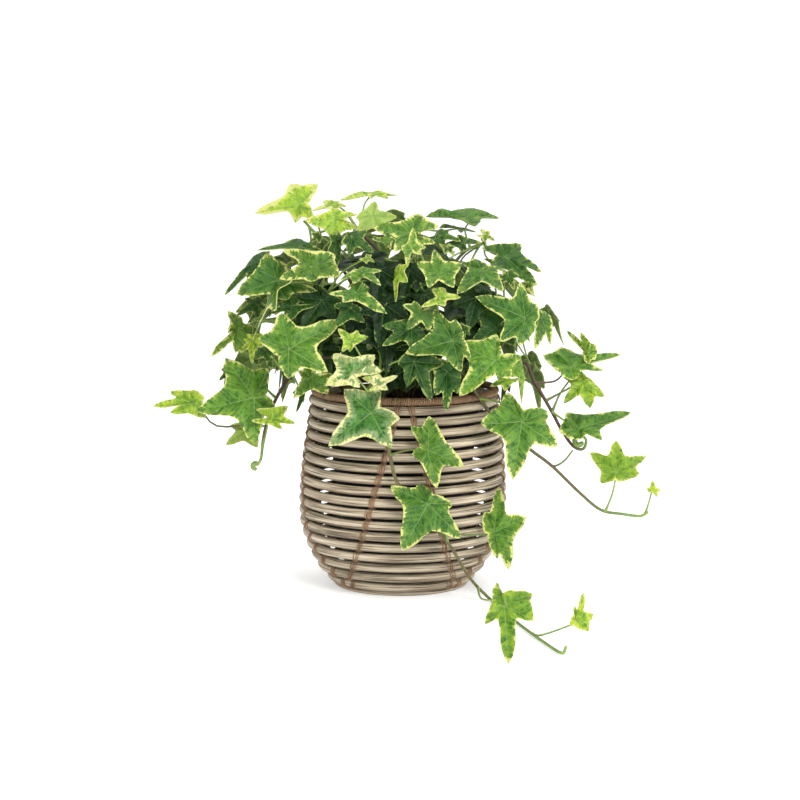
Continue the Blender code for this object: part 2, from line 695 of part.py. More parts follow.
FRONT_TRAIL_LEAVES = {
    "grey_front": seen(
        (371, 413), (328, 445), (391, 448), (400, 418), (344, 389), (380, 389), front=0.083
    ),
    "front_upper": seen(
        (428, 450), (464, 465), (437, 487), (411, 426), (428, 415), (412, 453), front=0.086
    ),
    "front_star": seen(
        (428, 504), (402, 549), (391, 484), (462, 537), (419, 483), (452, 503), front=0.090
    ),
    "front_side": seen(
        (494, 532), (527, 516), (499, 486), (509, 570), (488, 559), (484, 512), front=0.062,
        stalk=((440, 533), (470, 535)),
    ),
    "front_low": seen(
        (504, 605), (509, 659), (485, 623), (534, 617), (501, 581), (532, 589),
        floor=0.031, lean=(0.0, 1.0), stalk=((479, 590), (482, 599)),
    ),
    "front_tip_leaf": seen(
        (576, 620), (584, 591), (594, 614), (589, 631), (576, 605), (574, 615), floor=0.016,
        stalk=((534, 633), (542, 635)),
    ),
}

LEFT_TRAIL_ROUTE = [
    Vector((-0.044, -0.028, 0.146)), seen_at((312, 352), 0.036), seen_at((288, 379), 0.034),
    seen_at((274, 403), 0.036), seen_at((266, 426), 0.036), seen_at((263, 440), 0.036),
    seen_at((261, 458), 0.036), seen_at((257, 465), 0.036),
]
RIGHT_UPPER_ROUTE = [
    Vector((0.052, -0.016, 0.146)), seen_at((521, 362), 0.024), seen_at((535, 383), 0.028),
    seen_at((552, 412), 0.032), seen_at((561, 429), 0.034), seen_at((573, 446), 0.034),
    seen_at((583, 449), 0.034), seen_at((586, 440), 0.036), seen_at((579, 433), 0.037),
]
RIGHT_LOWER_ROUTE = [
    seen_at((448, 360), 0.034), seen_at((462, 373), 0.041), seen_at((474, 390), 0.046),
    seen_at((489, 411), 0.040), seen_at((508, 430), 0.037), seen_at((531, 450), 0.037),
    seen_at((552, 466), 0.038), seen_at((580, 493), 0.034), seen_at((601, 510), 0.028),
    seen_at((622, 514), 0.026), seen_at((640, 516), 0.024), seen_at((648, 512), 0.022),
]
FRONT_TRAIL_ROUTE = [
    Vector((-0.014, -0.058, 0.149)), seen_at((379, 401), 0.0735), seen_at((386, 430), 0.0770),
    seen_at((390, 455), 0.0790), seen_at((397, 482), 0.0800), seen_at((415, 505), 0.0810),
    seen_at((433, 525), 0.0810), seen_at((451, 547), 0.0790), seen_at((470, 578), 0.070),
    seen_on_floor((491, 600), 0.0022), seen_on_floor((519, 624), 0.0021),
    seen_on_floor((548, 645), 0.0019), seen_on_floor((562, 653), 0.0020),
    seen_on_floor((566, 647), 0.0030),
]


HIDDEN_COUNT = 17
HIDDEN_LOWEST = -0.28
HIDDEN_RISE = 1.16
HIDDEN_ARC = (8, 164)
GOLDEN_ANGLE = 137.5
HIDDEN_DEPTH = (0.80, 0.98)
HIDDEN_LENGTH = (0.022, 0.036)
HIDDEN_TURN = 0.3
HIDDEN_UPWARD = 0.55
HIDDEN_SWAY = 0.7


def hidden_leaves():
    """Leaves of the far side, which the photograph doesn't show, a golden angle apart."""
    draw = random.Random(11)
    made = []
    for number in range(HIDDEN_COUNT):
        height = HIDDEN_LOWEST + HIDDEN_RISE * (number + 0.5) / HIDDEN_COUNT
        angle = math.radians(HIDDEN_ARC[0] + (number * GOLDEN_ANGLE) % HIDDEN_ARC[1])
        level = math.sqrt(max(0.0, 1.0 - height**2))
        outward = Vector((level * math.cos(angle), level * math.sin(angle), height))
        reach = Vector(a * b for a, b in zip(outward, CROWN_REACH))
        junction = CROWN_MIDDLE + reach * draw.uniform(*HIDDEN_DEPTH)
        turn = Vector((
            draw.uniform(-HIDDEN_TURN, HIDDEN_TURN), draw.uniform(-HIDDEN_TURN, HIDDEN_TURN),
            HIDDEN_UPWARD,
        ))
        face = (outward + turn).normalized()
        down = Vector((
            draw.uniform(-HIDDEN_SWAY, HIDDEN_SWAY), draw.uniform(-HIDDEN_SWAY, HIDDEN_SWAY), -1.0
        ))
        main_lobe = (down - face * down.dot(face)).normalized()
        made.append(Leaf(junction, face, [main_lobe * draw.uniform(*HIDDEN_LENGTH)]))
    return made


def fused(name, pieces, finish):
    """One closed body from overlapping closed pieces, each given as (points, faces)."""
    joining = bpy.data.collections.new(name + "_pieces")
    bpy.context.scene.collection.children.link(joining)
    body = solid(name, *pieces[0], finish)
    for points, faces in pieces[1:]:
        piece = solid(name + "_piece", points, faces, finish)
        bpy.context.scene.collection.objects.unlink(piece)
        joining.objects.link(piece)
    union = body.modifiers.new("union", "BOOLEAN")
    union.operation = "UNION"
    union.operand_type = "COLLECTION"
    union.collection = joining
    union.solver = "MANIFOLD"
    ready = body.evaluated_get(bpy.context.evaluated_depsgraph_get())
    joined = bpy.data.meshes.new_from_object(ready)
    body.modifiers.clear()
    body.data = joined
    for piece in list(joining.objects):
        bpy.data.objects.remove(piece)
    bpy.data.collections.remove(joining)
    return body


def stem_tube(route, steps, sides):
    """A stem, with the places between its rings where petioles can leave it."""
    line = smooth_route(route, steps)
    radii = np.linspace(STEM_RADIUS, STEM_TIP_RADIUS, len(line))
    nodes = [a.lerp(b, part) for a, b in zip(line, line[1:]) for part in (0.3, 0.5, 0.7)]
    return nodes, tube(line, list(radii), sides)


def trail(name, route, leaves, finish):
    """A trailing stem with its leaves, rooted in its own hole in the soil."""
    nodes, stem = stem_tube(root_start(name) + route, 2, 4)
    outside = [p for p in nodes if p.xy.length > BARE_STEM_REACH]
    pieces = [stem]
    for leaf in leaves:
        pieces.append(leaf.blade())
        pieces.append(leaf.petiole(outside))
    return fused(name, pieces, finish)


def crown(finish):
    """The bushy middle of the plant: every stem here grows from one woody base."""
    radii = [KNUCKLE_RADIUS, KNUCKLE_RADIUS, KNUCKLE_TOP_RADIUS]
    pieces = [tube(root_start("crown"), radii, 6)]
    nodes = []
    for route in CROWN_STEMS:
        places, stem = stem_tube([CROWN_BASE, *route], 2, 4)
        nodes += places[BARE_STEM_NODES:]
        pieces.append(stem)
    for leaf in list(CROWN_LEAVES.values()) + hidden_leaves():
        pieces.append(leaf.blade())
        pieces.append(leaf.petiole(nodes))
    return fused("crown", pieces, finish)


def main():
    for old in list(bpy.data.objects):
        bpy.data.objects.remove(old)
    cane = material("taupe_cane", (0.42, 0.34, 0.25), 0.6)
    lashing_cane = material("brown_lashing", (0.20, 0.11, 0.06), 0.65)
    plastic = material("black_plastic", (0.015, 0.015, 0.015), 0.5)
    earth = material("potting_soil", (0.035, 0.022, 0.014), 0.95)
    leaf_green = material("ivy_green", (0.10, 0.26, 0.05), 0.45)
    hoops(cane)
    rim_binding(lashing_cane)
    base_disc(lashing_cane)
    ribs(cane)
    lashings(lashing_cane)
    liner(plastic)
    soil(earth, list(ROOTS.values()))
    crown(leaf_green)
    trail("left_trail", LEFT_TRAIL_ROUTE, LEFT_TRAIL_LEAVES.values(), leaf_green)
    trail("right_upper_trail", RIGHT_UPPER_ROUTE, RIGHT_UPPER_LEAVES.values(), leaf_green)
    trail("right_lower_trail", RIGHT_LOWER_ROUTE, RIGHT_LOWER_LEAVES.values(), leaf_green)
    trail("front_trail", FRONT_TRAIL_ROUTE, FRONT_TRAIL_LEAVES.values(), leaf_green)


main()
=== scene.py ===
"""The finished look of a variegated ivy in its nursery pot and round cane basket.

Metres, +Z up, the front faces -Y. Each fine piece stands where its solid in the frame
stands and keeps that solid's sizes.
"""

import math
import random

import bpy
import numpy as np
from mathutils import Matrix, Vector


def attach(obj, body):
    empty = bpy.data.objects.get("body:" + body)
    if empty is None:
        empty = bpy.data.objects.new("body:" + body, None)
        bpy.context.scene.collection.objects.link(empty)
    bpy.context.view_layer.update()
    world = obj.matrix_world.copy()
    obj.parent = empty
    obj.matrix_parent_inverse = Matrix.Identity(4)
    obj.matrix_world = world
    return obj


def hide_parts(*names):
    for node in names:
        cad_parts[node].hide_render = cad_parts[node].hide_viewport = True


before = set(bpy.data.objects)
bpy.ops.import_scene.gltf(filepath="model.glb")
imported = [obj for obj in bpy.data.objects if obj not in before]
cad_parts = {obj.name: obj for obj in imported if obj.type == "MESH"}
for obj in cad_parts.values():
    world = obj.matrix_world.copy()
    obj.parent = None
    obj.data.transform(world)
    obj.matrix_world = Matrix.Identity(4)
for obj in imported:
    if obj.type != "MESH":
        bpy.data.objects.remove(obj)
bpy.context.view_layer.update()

# Sizes that the solids have, in metres
HOOP_COUNT = 17
HOOP_ROD = 0.0062
HOOP_PITCH = 0.00795
TOP_HOOP_HEIGHT = 0.1341
BASKET_LEAN = 0.02
BASKET_LEAN_MIDDLE = 0.07
RIM_ROD = 0.0058
BASE_THICKNESS = 0.0034
BASE_RADIUS = 0.049
RIB_ROD = 0.003
RIB_STATIONS = (15, 13, 11, 8, 5, 2, 0)
BASE_SPOKES = 24
BASE_ROUNDS = 22
RIM_WRAPS = 270
LEG_COUNT = 8
LEG_OFFSET_AT_TOP = 0.005
LEG_OFFSET_SLOPE = 0.265
LEG_WIDEST_SWING = math.radians(40.5)
LINER_TOP = 0.134
LINER_RIM_RADIUS = 0.0558
LINER_TOP_RADIUS = 0.0548
LINER_BOTTOM_RADIUS = 0.0405
LINER_WALL = 0.001
LINER_LIP_HEIGHT = 0.005
SOIL_TOP = 0.122
SOIL_HOLE_DEPTH = 0.0134
SOIL_CROWN = 0.0012
CLEARANCE = 0.0003
STEM_RADIUS = 0.0014
STEM_TIP_RADIUS = 0.001
BASKET_PROFILE = (
    (0.003, 0.05), (0.0069, 0.0537), (0.015, 0.0606), (0.0225, 0.0652),
    (0.033, 0.0702), (0.045, 0.0737), (0.06, 0.0749), (0.078, 0.0744),
    (0.095, 0.0728), (0.112, 0.0702), (0.126, 0.0682), (0.142, 0.0676),
)

# The viewpoint, by which the leaves are placed: metres, degrees and pixels
EYE = Vector((-0.0021, -1.5, 0.342))
EYE_PITCH = math.radians(7.94)
FRAME_MIDDLE = 400
PIXELS_PER_SLOPE = 2110
SENSOR = 36.0
CROWN_MIDDLE = Vector((-0.012, 0.0, 0.175))
CROWN_REACH = Vector((0.125, 0.092, 0.108))

# The ivy leaf: lobe angles in degrees, lengths against the main lobe
LATERAL_LOBE = (65, 0.68)
BASAL_LOBE = (124, 0.5)
LOBE_SWING = 46
NOTCH_BY_MAIN = 0.46
NOTCH_BY_BASAL = 0.7
NOTCH_OF_LONGER = 0.08
NOTCH_OF_CHORD = 0.92
SHOULDER_ANGLE = 153
SHOULDER_LENGTH = 0.3
SINUS_LENGTH = 0.2
FULL_AT_PETIOLE = 0.4
TIP_DROOP = 0.1
NOTCH_LIFT = 0.03
PETIOLE_SHARE = 0.9
PETIOLE_END = 0.1
PETIOLE_PLACES = (0, 0.12, 0.5, 1)
PETIOLE_RADII = (0.00125, 0.00075, 0.00062, 0.0005)
ELBOW_SHARE = 0.45
ELBOW_DROP = 0.12
ELBOW_SINK = 0.08
BLADE_THICKNESS = 0.00045
BLADE_RINGS = (0.3, 0.56, 0.78, 0.92, 1.0)
NAMED_EDGE_STEPS = 6
HIDDEN_EDGE_STEPS = 4
INNER_EDGE_STEPS = 3
EDGE_BULGE = 0.066
EDGE_TEETH = 0.016
VEIN_PUFF = 0.032
EDGE_WAVE = 0.028

# How each kind of leaf is coloured: lightness, yellowness, greyness, cream margin in mm. The low lightness of
# the shade, dusky, dark and deep kinds is painted shade: they stand for leaves in the bush's shadowed inside,
# and deep is near black.
LEAF_KINDS = {
    "mid": (0.47, 0.3, 0.1, 0.62),
    "bright": (0.5, 0.38, 0.05, 0.55),
    "shade": (0.34, 0.28, 0.08, 0.52),
    "dark": (0.19, 0.22, 0.05, 0.36),
    "deep_shade": (0.02, 0.15, 0.00, 0.06),
    "bare": (0.4, 0.4, 0.1, 0.00),
    "dusky": (0.22, 0.25, 0.05, 0.15),
    "tip": (0.74, 0.62, 0.1, 1.1),
    "pale": (0.82, 0.62, 0.1, 0.6),
    "young": (0.74, 0.62, 0.00, 0.4),
    "olive": (0.62, 0.7, 0.1, 0.25),
    "grey": (0.47, 0.12, 1.00, 1.25),
    "gold": (0.4, 0.48, 0.1, 0.95),
    "plain": (0.5, 0.48, 0.00, 0.18),
    "under": (0.7, 0.8, 0.1, 0.35),
}
FORWARD = Vector((0.0, math.cos(EYE_PITCH), -math.sin(EYE_PITCH)))
RIGHT = Vector((1.0, 0.0, 0.0))
UP = RIGHT.cross(FORWARD)


def ray(pixel):
    """Direction from the eye through a pixel of the photograph."""
    across = (pixel[0] - FRAME_MIDDLE) / PIXELS_PER_SLOPE
    down = (pixel[1] - FRAME_MIDDLE) / PIXELS_PER_SLOPE
    return FORWARD + RIGHT * across - UP * down


def seen_on_plane(pixel, point, normal):
    """The point that a pixel shows on a plane."""
    direction = ray(pixel)
    return EYE + direction * ((point - EYE).dot(normal) / direction.dot(normal))


def seen_at(pixel, front):
    """The point that a pixel shows at a distance in front of the pot's axis."""
    return seen_on_plane(pixel, Vector((0.0, -front, 0.0)), Vector((0.0, 1.0, 0.0)))


def seen_on_floor(pixel, height):
    return seen_on_plane(pixel, Vector((0.0, 0.0, height)), Vector((0.0, 0.0, 1.0)))


def crown_front(pixel, share):
    """How far forward the crown bulges where a pixel shows it; share 1 is its surface."""
    middle = seen_at(pixel, 0.0) - CROWN_MIDDLE
    spread = (middle.x / CROWN_REACH.x) ** 2 + (middle.z / CROWN_REACH.z) ** 2
    return share * CROWN_REACH.y * math.sqrt(max(0.02, 1.0 - spread))


def smooth_route(points, steps):
    """Points along a Catmull-Rom curve through the route's own points."""
    points = [Vector(p) for p in points]
    padded = [points[0] * 2 - points[1]] + points + [points[-1] * 2 - points[-2]]
    curve = []
    for a, b, c, d in zip(padded, padded[1:], padded[2:], padded[3:]):
        for step in range(steps):
            t = step / steps
            curve.append(
                0.5 * (2 * b + (c - a) * t + (2 * a - 5 * b + 4 * c - d) * t**2
                       + (3 * b - a - 3 * c + d) * t**3)
            )
    curve.append(points[-1])
    return curve


def at_angle(turn, radius=1.0, height=0.0):
    """A point at a share of a full turn about the Z axis."""
    angle = math.tau * turn
    return Vector((radius * math.cos(angle), radius * math.sin(angle), height))


def basket_radius(height):
    heights, radii = zip(*BASKET_PROFILE)
    return float(np.interp(height, heights, radii))


def basket_axis(height):
    """The hand-made basket leans a touch to its right as it rises."""
    return (height - BASKET_LEAN_MIDDLE) * BASKET_LEAN


def hoop_height(number):
    return TOP_HOOP_HEIGHT - HOOP_PITCH * number


def linked(made):
    bpy.context.scene.collection.objects.link(made)
    return made


class Wiring:
    """Adds the nodes of one tree, each with its inputs linked or set in the same call."""

    def __init__(self, tree):
        self.tree = tree

    def add(self, kind, inputs=None, **settings):
        node = self.tree.nodes.new(kind)
        for key, value in settings.items():
            setattr(node, key, value)
        for key, value in (inputs or {}).items():
            if isinstance(value, bpy.types.NodeSocket):
                self.tree.links.new(value, node.inputs[key])
            else:
                colour = node.inputs[key].type == "RGBA"
                node.inputs[key].default_value = (*value, 1.0) if colour else value
        return node

    def sum(self, operation, *values):
        return self.add("ShaderNodeMath", dict(enumerate(values)), operation=operation).outputs[0]

    def mixed(self, share, first, second):
        return self.add("ShaderNodeMix", {0: share, 6: first, 7: second}, data_type="RGBA").outputs[2]

    def tinted(self, colour, factors):
        return self.add("ShaderNodeVectorMath", {0: colour, 1: factors}, operation="MULTIPLY").outputs[0]

    def stepped(self, value, low, high):
        """0 below low and 1 above high, smooth between; low may be the larger of the two."""
        ends = {"Value": value, "From Min": low, "From Max": high}
        return self.add("ShaderNodeMapRange", ends, interpolation_type="SMOOTHSTEP").outputs["Result"]

    def ramp(self, value, *stops):
        made = self.add("ShaderNodeValToRGB", {"Fac": value})
        bands = made.color_ramp.elements
        while len(bands) < len(stops):
            bands.new(0.5)
        for band, (place, colour) in zip(bands, stops):
            band.position = place
            band.color = (*colour, 1.0)
        return made.outputs["Color"]

    def number(self, name):
        return self.add("ShaderNodeAttribute", attribute_name=name).outputs["Fac"]

    def vector(self, name):
        return self.apart(self.add("ShaderNodeAttribute", attribute_name=name).outputs["Vector"])

    def place(self):
        return self.add("ShaderNodeTexCoord").outputs["Object"]

    def own(self, name, kind="FLOAT"):
        return self.grow("InputNamedAttribute", {0: name}, data_type=kind)

    def grow(self, kind, inputs=None, **settings):
        return self.add("GeometryNode" + kind, inputs, **settings).outputs[0]

    def times(self, first, second):
        return self.sum("MULTIPLY", first, second)

    def plus(self, first, second):
        return self.sum("ADD", first, second)

    def less(self, first, second):
        return self.sum("SUBTRACT", first, second)

    def times_plus(self, first, second, third):
        return self.sum("MULTIPLY_ADD", first, second, third)

    def apart(self, vector):
        return self.add("ShaderNodeSeparateXYZ", {0: vector}).outputs

    def together(self, x, y, z):
        return self.add("ShaderNodeCombineXYZ", {0: x, 1: y, 2: z}).outputs[0]

    def centred(self, value):
        return self.less(value, 0.5)

    def noise(self, vector, scale, detail=2.0, w=None, roughness=0.5):
        inputs = {"Vector": vector, "Scale": scale, "Detail": detail, "Roughness": roughness}
        if w is not None:
            inputs["W"] = w
        made = self.add("ShaderNodeTexNoise", inputs, noise_dimensions="3D" if w is None else "4D")
        return made.outputs[0]


def finish_start(name, roughness, **constants):
    """A Principled finish, its wiring and its shader, with the constants set on the shader."""
    made = bpy.data.materials.new(name)
    made.use_nodes = True
    shader = made.node_tree.nodes["Principled BSDF"]
    shader.inputs["Roughness"].default_value = roughness
    for key, value in constants.items():
        shader.inputs[key.replace("_", " ")].default_value = value
    return made, Wiring(made.node_tree), shader


def coated(made, wires, shader, colour, height, distance, strength=0.6):
    """Ends a finish: its colour, and the fine relief in its surface."""
    bump = wires.add("ShaderNodeBump", {"Height": height, "Strength": strength, "Distance": distance})
    wires.tree.links.new(colour, shader.inputs["Base Color"])
    wires.tree.links.new(bump.outputs["Normal"], shader.inputs["Normal"])
    return made


def cane_finish(name, flush, flush_share, underside_shade_share, *stops):
    """Bare cane: fine fibres that run along the rod, greyed by age, with painted shade darkening the
    underside of each rod.
    """
    start = finish_start(name, 0.6, Specular_IOR_Level=0.3)
    wires = start[1]
    section = wires.vector("section")
    place = wires.apart(wires.place())
    fibre = wires.together(
        wires.times(section[0], 3.0), wires.times(section[1], 3.0), wires.times(place[0], 24.0)
    )
    drift = wires.plus(wires.times(place[1], 24.0), wires.number("rod_seed"))
    fine = wires.noise(fibre, 1.0, 4.0, w=drift, roughness=0.62)
    broad = wires.noise(fibre, 0.22, 2.0, w=wires.plus(drift, 31.0))
    colour = wires.ramp(wires.plus(wires.times(fine, 0.82), wires.times(broad, 0.18)), *stops)
    pink = wires.times(wires.stepped(broad, 0.5, 0.72), flush_share)
    colour = wires.mixed(pink, colour, flush)
    # Painted shade: the underside of each rod darkens towards near black.
    below = wires.times(wires.stepped(section[1], 0.15, 0.95), underside_shade_share)
    colour = wires.mixed(below, colour, wires.mixed(0.75, colour, (0.03, 0.02, 0.012)))
    return coated(*start, colour, fine, 0.0004)


def leaf_finish():
    """A waxy ivy leaf: mottled green with a net of veins, greyed patches, ragged cream margin; low lightness
    paints the shade of leaves inside the bush.
    """
    made, wires, shader = finish_start("ivy_leaf", 0.45, Specular_IOR_Level=0.2)
    times, plus, less, times_plus = wires.times, wires.plus, wires.less, wires.times_plus
    mixed, stepped, tinted = wires.mixed, wires.stepped, wires.tinted
    noise, centred = wires.noise, wires.centred
    kind = wires.vector("leaf_kind")
    edge = wires.vector("leaf_edge")
    own = wires.number("leaf_seed")
    place = wires.place()
    rough_edge = centred(noise(place, 560.0, 2.0, w=own, roughness=0.6))
    patches = centred(noise(place, 230.0, 3.0, w=own, roughness=0.58))
    cells, borders = [
        wires.add("ShaderNodeTexVoronoi", {"Vector": place, "Scale": 330.0, "W": own},
                  voronoi_dimensions="4D", feature=feature).outputs
        for feature in ("F1", "DISTANCE_TO_EDGE")
    ]
    cell_shade = centred(wires.apart(cells["Color"])[0])
    veins = wires.apart(wires.add("ShaderNodeUVMap", uv_map="leaf_veins").outputs["UV"])
    bent = times_plus(patches, 0.055, veins[1])
    aside = wires.sum("ABSOLUTE", bent)
    run = less(veins[0], times(aside, 0.95))
    streaks = centred(noise(wires.together(
        times(run, 13.0), times(veins[1], 4.5), own,
    ), 1.0, 3.0, roughness=0.6))

    # Lightness picks the green; its near-black low end is painted shade for leaves inside the bush.
    green = wires.ramp(
        kind[0], (0.0, (0.003, 0.022, 0.004)), (0.25, (0.015, 0.08, 0.011)),
        (0.55, (0.068, 0.215, 0.032)), (0.8, (0.175, 0.36, 0.062)), (1.0, (0.36, 0.56, 0.13)),
    )
    sunny = wires.ramp(
        kind[0], (0.0, (0.01, 0.045, 0.003)), (0.25, (0.048, 0.12, 0.006)),
        (0.55, (0.155, 0.3, 0.012)), (0.8, (0.31, 0.495, 0.026)), (1.0, (0.52, 0.65, 0.11)),
    )
    base = mixed(kind[1], green, sunny)
    shade = plus(times(patches, 0.55), times(cell_shade, 0.13))
    calm = times_plus(stepped(kind[1], 0.5, 0.72), -0.45, 1.0)
    shade = times(plus(streaks, shade), calm)
    darker = tinted(base, (0.38, 0.52, 0.6))
    lighter = tinted(base, (1.95, 1.42, 1.6))
    base = mixed(times(stepped(shade, -0.04, 0.15), 0.95), base, darker)
    base = mixed(times(stepped(shade, -0.02, -0.18), 0.62), base, lighter)
    net = stepped(borders["Distance"], 0.12, 0.02)
    base = mixed(times(net, 0.35), base, lighter)

    blotch = times_plus(rough_edge, 0.8, plus(shade, times(cell_shade, 0.1)))
    inward = plus(edge[0], times(blotch, 9.0))
    grey_zone = times(stepped(inward, plus(edge[1], 5.0), plus(edge[1], 3.4)), kind[2])
    base = mixed(times(grey_zone, 0.58), base, (0.245, 0.345, 0.165))
    lit_zone = stepped(inward, plus(edge[1], 3.2), plus(edge[1], 0.2))
    lit_share = times(lit_zone, times_plus(kind[0], -0.55, 0.75))
    base = mixed(lit_share, base, tinted(base, (2.3, 1.5, 1.15)))

    unrest = times_plus(edge[1], 0.45, 0.52)
    ragged = times_plus(times(blotch, 5.4), unrest, edge[0])
    swing = stepped(noise(place, 80.0, 1.0, w=plus(own, 9.0)), 0.34, 0.66)
    least = times_plus(kind[2], 0.45, 0.2)
    reach = times(edge[1], times_plus(swing, 1.8, least))
    margin = stepped(ragged, plus(reach, 0.22), less(reach, 0.12))
    margin = times(margin, stepped(reach, 0.03, 0.14))
    cream = mixed(kind[2], (0.59, 0.61, 0.19), (0.69, 0.67, 0.32))
    cream = mixed(stepped(shade, 0.02, 0.16), cream, (0.39, 0.48, 0.07))
    # Painted shade: the cream margin darkens on shaded leaves of low lightness.
    margin_shade = stepped(kind[0], 0.42, 0.02)
    cream = mixed(times(margin_shade, 0.9), cream, (0.13, 0.22, 0.026))
    base = mixed(margin, base, cream)

    width = times_plus(veins[0], -0.012, 0.0155)
    main_vein = stepped(aside, width, times(width, 0.25))
    run = times_plus(patches, 0.1, run)
    branch = wires.sum("ABSOLUTE", less(wires.sum("FRACT", wires.sum("DIVIDE", run, 0.155)), 0.5))
    side_vein = times(stepped(branch, 0.06, 0.01), stepped(aside, 0.3, 0.02))
    vein = wires.sum("MAXIMUM", main_vein, times(side_vein, 0.5))
    # Veins dim with the leaf's lightness, so they fade in the painted shade as well.
    fade = times_plus(kind[0], 0.5, 0.22)
    base = mixed(times(vein, fade), base, (0.36, 0.52, 0.19))

    below = mixed(0.5, base, (0.33, 0.45, 0.15))
    base = mixed(edge[2], base, below)
    wires.tree.links.new(
        times_plus(edge[2], 0.22, times_plus(rough_edge, 0.12, 0.4)),
        shader.inputs["Roughness"],
    )
    relief = less(times(patches, 0.8), times(vein, 0.6))
    relief = less(relief, times(net, 0.2))
    return coated(made, wires, shader, base, relief, 0.0006, 0.8)


def stem_finish():
    """Young stems and leaf stalks, green to woody brown by their own tone."""
    start = finish_start("ivy_stem", 0.5)
    wires = start[1]
    mottle = wires.noise(wires.place(), 380.0, 3.0)
    tone = wires.plus(wires.number("tone"), wires.times(wires.centred(mottle), 0.45))
    colour = wires.ramp(
        tone, (0.0, (0.3, 0.43, 0.09)), (0.3, (0.13, 0.21, 0.045)),
        (0.6, (0.115, 0.09, 0.03)), (0.85, (0.07, 0.034, 0.018)), (1.0, (0.04, 0.02, 0.012)),
    )
    return coated(*start, colour, mottle, 0.0002)


def plastic_finish():
    start = finish_start("black_plastic", 0.6, Specular_IOR_Level=0.2)
    wires = start[1]
    dust = wires.noise(wires.place(), 60.0, 3.0)
    colour = wires.ramp(dust, (0.35, (0.008, 0.008, 0.009)), (0.75, (0.022, 0.02, 0.019)))
    return coated(*start, colour, wires.noise(wires.place(), 1600.0, 2.0), 0.0001, 0.3)


def soil_finish():
    start = finish_start("potting_soil", 0.92)
    wires = start[1]
    clods = wires.noise(wires.place(), 260.0, 4.0, roughness=0.65)
    colour = wires.ramp(
        clods, (0.3, (0.01, 0.006, 0.004)), (0.55, (0.032, 0.02, 0.012)), (0.8, (0.085, 0.055, 0.034))
    )
    return coated(*start, colour, clods, 0.0012)


def growing_tree(name, **sizes):
    """The wiring and inputs of a Geometry Nodes tree: a Geometry, named sizes and a Finish."""
    tree = bpy.data.node_groups.new(name, "GeometryNodeTree")
    tree.interface.new_socket("Geometry", in_out="INPUT", socket_type="NodeSocketGeometry")
    for label, value in sizes.items():
        kind = "NodeSocketInt" if isinstance(value, int) else "NodeSocketFloat"
        socket = tree.interface.new_socket(label.replace("_", " "), in_out="INPUT", socket_type=kind)
        socket.default_value = value
    tree.interface.new_socket("Finish", in_out="INPUT", socket_type="NodeSocketMaterial")
    tree.interface.new_socket("Geometry", in_out="OUTPUT", socket_type="NodeSocketGeometry")
    wires = Wiring(tree)
    return wires, wires.add("NodeGroupInput").outputs


def tree_end(wires, geometry, given):
    """Every tree ends here: real geometry, smooth, with its finish."""
    real = wires.grow("RealizeInstances", {0: geometry})
    smooth = wires.grow("SetShadeSmooth", {0: real})
    wires.add("NodeGroupOutput", {0: wires.grow("SetMaterial", {0: smooth, 2: given["Finish"]})})
    return wires.tree


def ring(wires, sides):
    return wires.grow("CurvePrimitiveCircle", {0: sides, 4: 1.0})


def section_ring(wires, sides):
    """A rod's round section, which keeps where on it each point lies."""
    return wires.grow(
        "StoreNamedAttribute", {0: ring(wires, sides), 2: "section", 3: wires.grow("InputPosition")},
        data_type="FLOAT_VECTOR",
    )


def rod_tree():
    """Rods along the guide's chains of points, each point with its own thickness."""
    wires, given = growing_tree("rods_along_paths", Sides=8, Squash=1.0)
    path = wires.grow("MeshToCurve", {0: given["Geometry"]})
    shape = wires.together(given["Squash"], 1.0, 1.0)
    section = wires.grow("Transform", {0: section_ring(wires, given["Sides"]), 3: shape})
    inputs = {0: path, 1: section, "Scale": wires.own("thickness"), "Fill Caps": True}
    rods = wires.grow("CurveToMesh", inputs)
    return tree_end(wires, rods, given)


def hoop_tree():
    """Bent cane hoops on the guide's points, a little uneven as hand-bent cane is."""
    wires, given = growing_tree(
        "bent_cane_hoops", Rod_Radius=HOOP_ROD / 2, Segments=112, Sides=12, Unevenness=0.0005
    )
    size = wires.own("hoop_radius")
    spread = wires.together(size, size, 1.0)
    circle = ring(wires, given["Segments"])
    placed = wires.grow("InstanceOnPoints", {0: given["Geometry"], 2: circle, "Scale": spread})
    bent = wires.grow("RealizeInstances", {0: placed})
    sway = wires.add(
        "ShaderNodeTexNoise",
        {"Vector": wires.grow("InputPosition"), "W": wires.own("rod_seed"), "Scale": 22.0, "Detail": 1.0},
        noise_dimensions="4D",
    ).outputs["Color"]
    centred = wires.add(
        "ShaderNodeVectorMath", {0: sway, 1: (0.5, 0.5, 0.5)}, operation="SUBTRACT"
    ).outputs[0]
    most = wires.times(given["Unevenness"], 2.0)
    moved = wires.add(
        "ShaderNodeVectorMath", {0: centred, "Scale": most}, operation="SCALE"
    ).outputs[0]
    bent = wires.grow("SetPosition", {0: bent, "Offset": moved})
    section = section_ring(wires, given["Sides"])
    rods = wires.grow("CurveToMesh", {0: bent, 1: section, "Scale": given["Rod Radius"]})
    return tree_end(wires, rods, given)


def wrap_tree():
    """Loops of split cane on the guide's points, each turned and sized by its point."""
    wires, given = growing_tree("split_cane_wraps", Steps=12, Half_Width=0.0007, Half_Thickness=0.00035)
    turn = wires.add("FunctionNodeEulerToRotation", {0: wires.own("facing", "FLOAT_VECTOR")}).outputs[0]
    placed = wires.grow("InstanceOnPoints", {
        0: given["Geometry"], 2: ring(wires, given["Steps"]), "Rotation": turn,
        "Scale": wires.own("spread", "FLOAT_VECTOR"),
    })
    loops = wires.grow("RealizeInstances", {0: placed})
    thin = wires.together(given["Half Thickness"], given["Half Width"], 1.0)
    strip = wires.grow("Transform", {0: section_ring(wires, 4), 3: thin})
    strands = wires.grow("CurveToMesh", {0: loops, 1: strip, "Scale": 1.0})
    return tree_end(wires, strands, given)


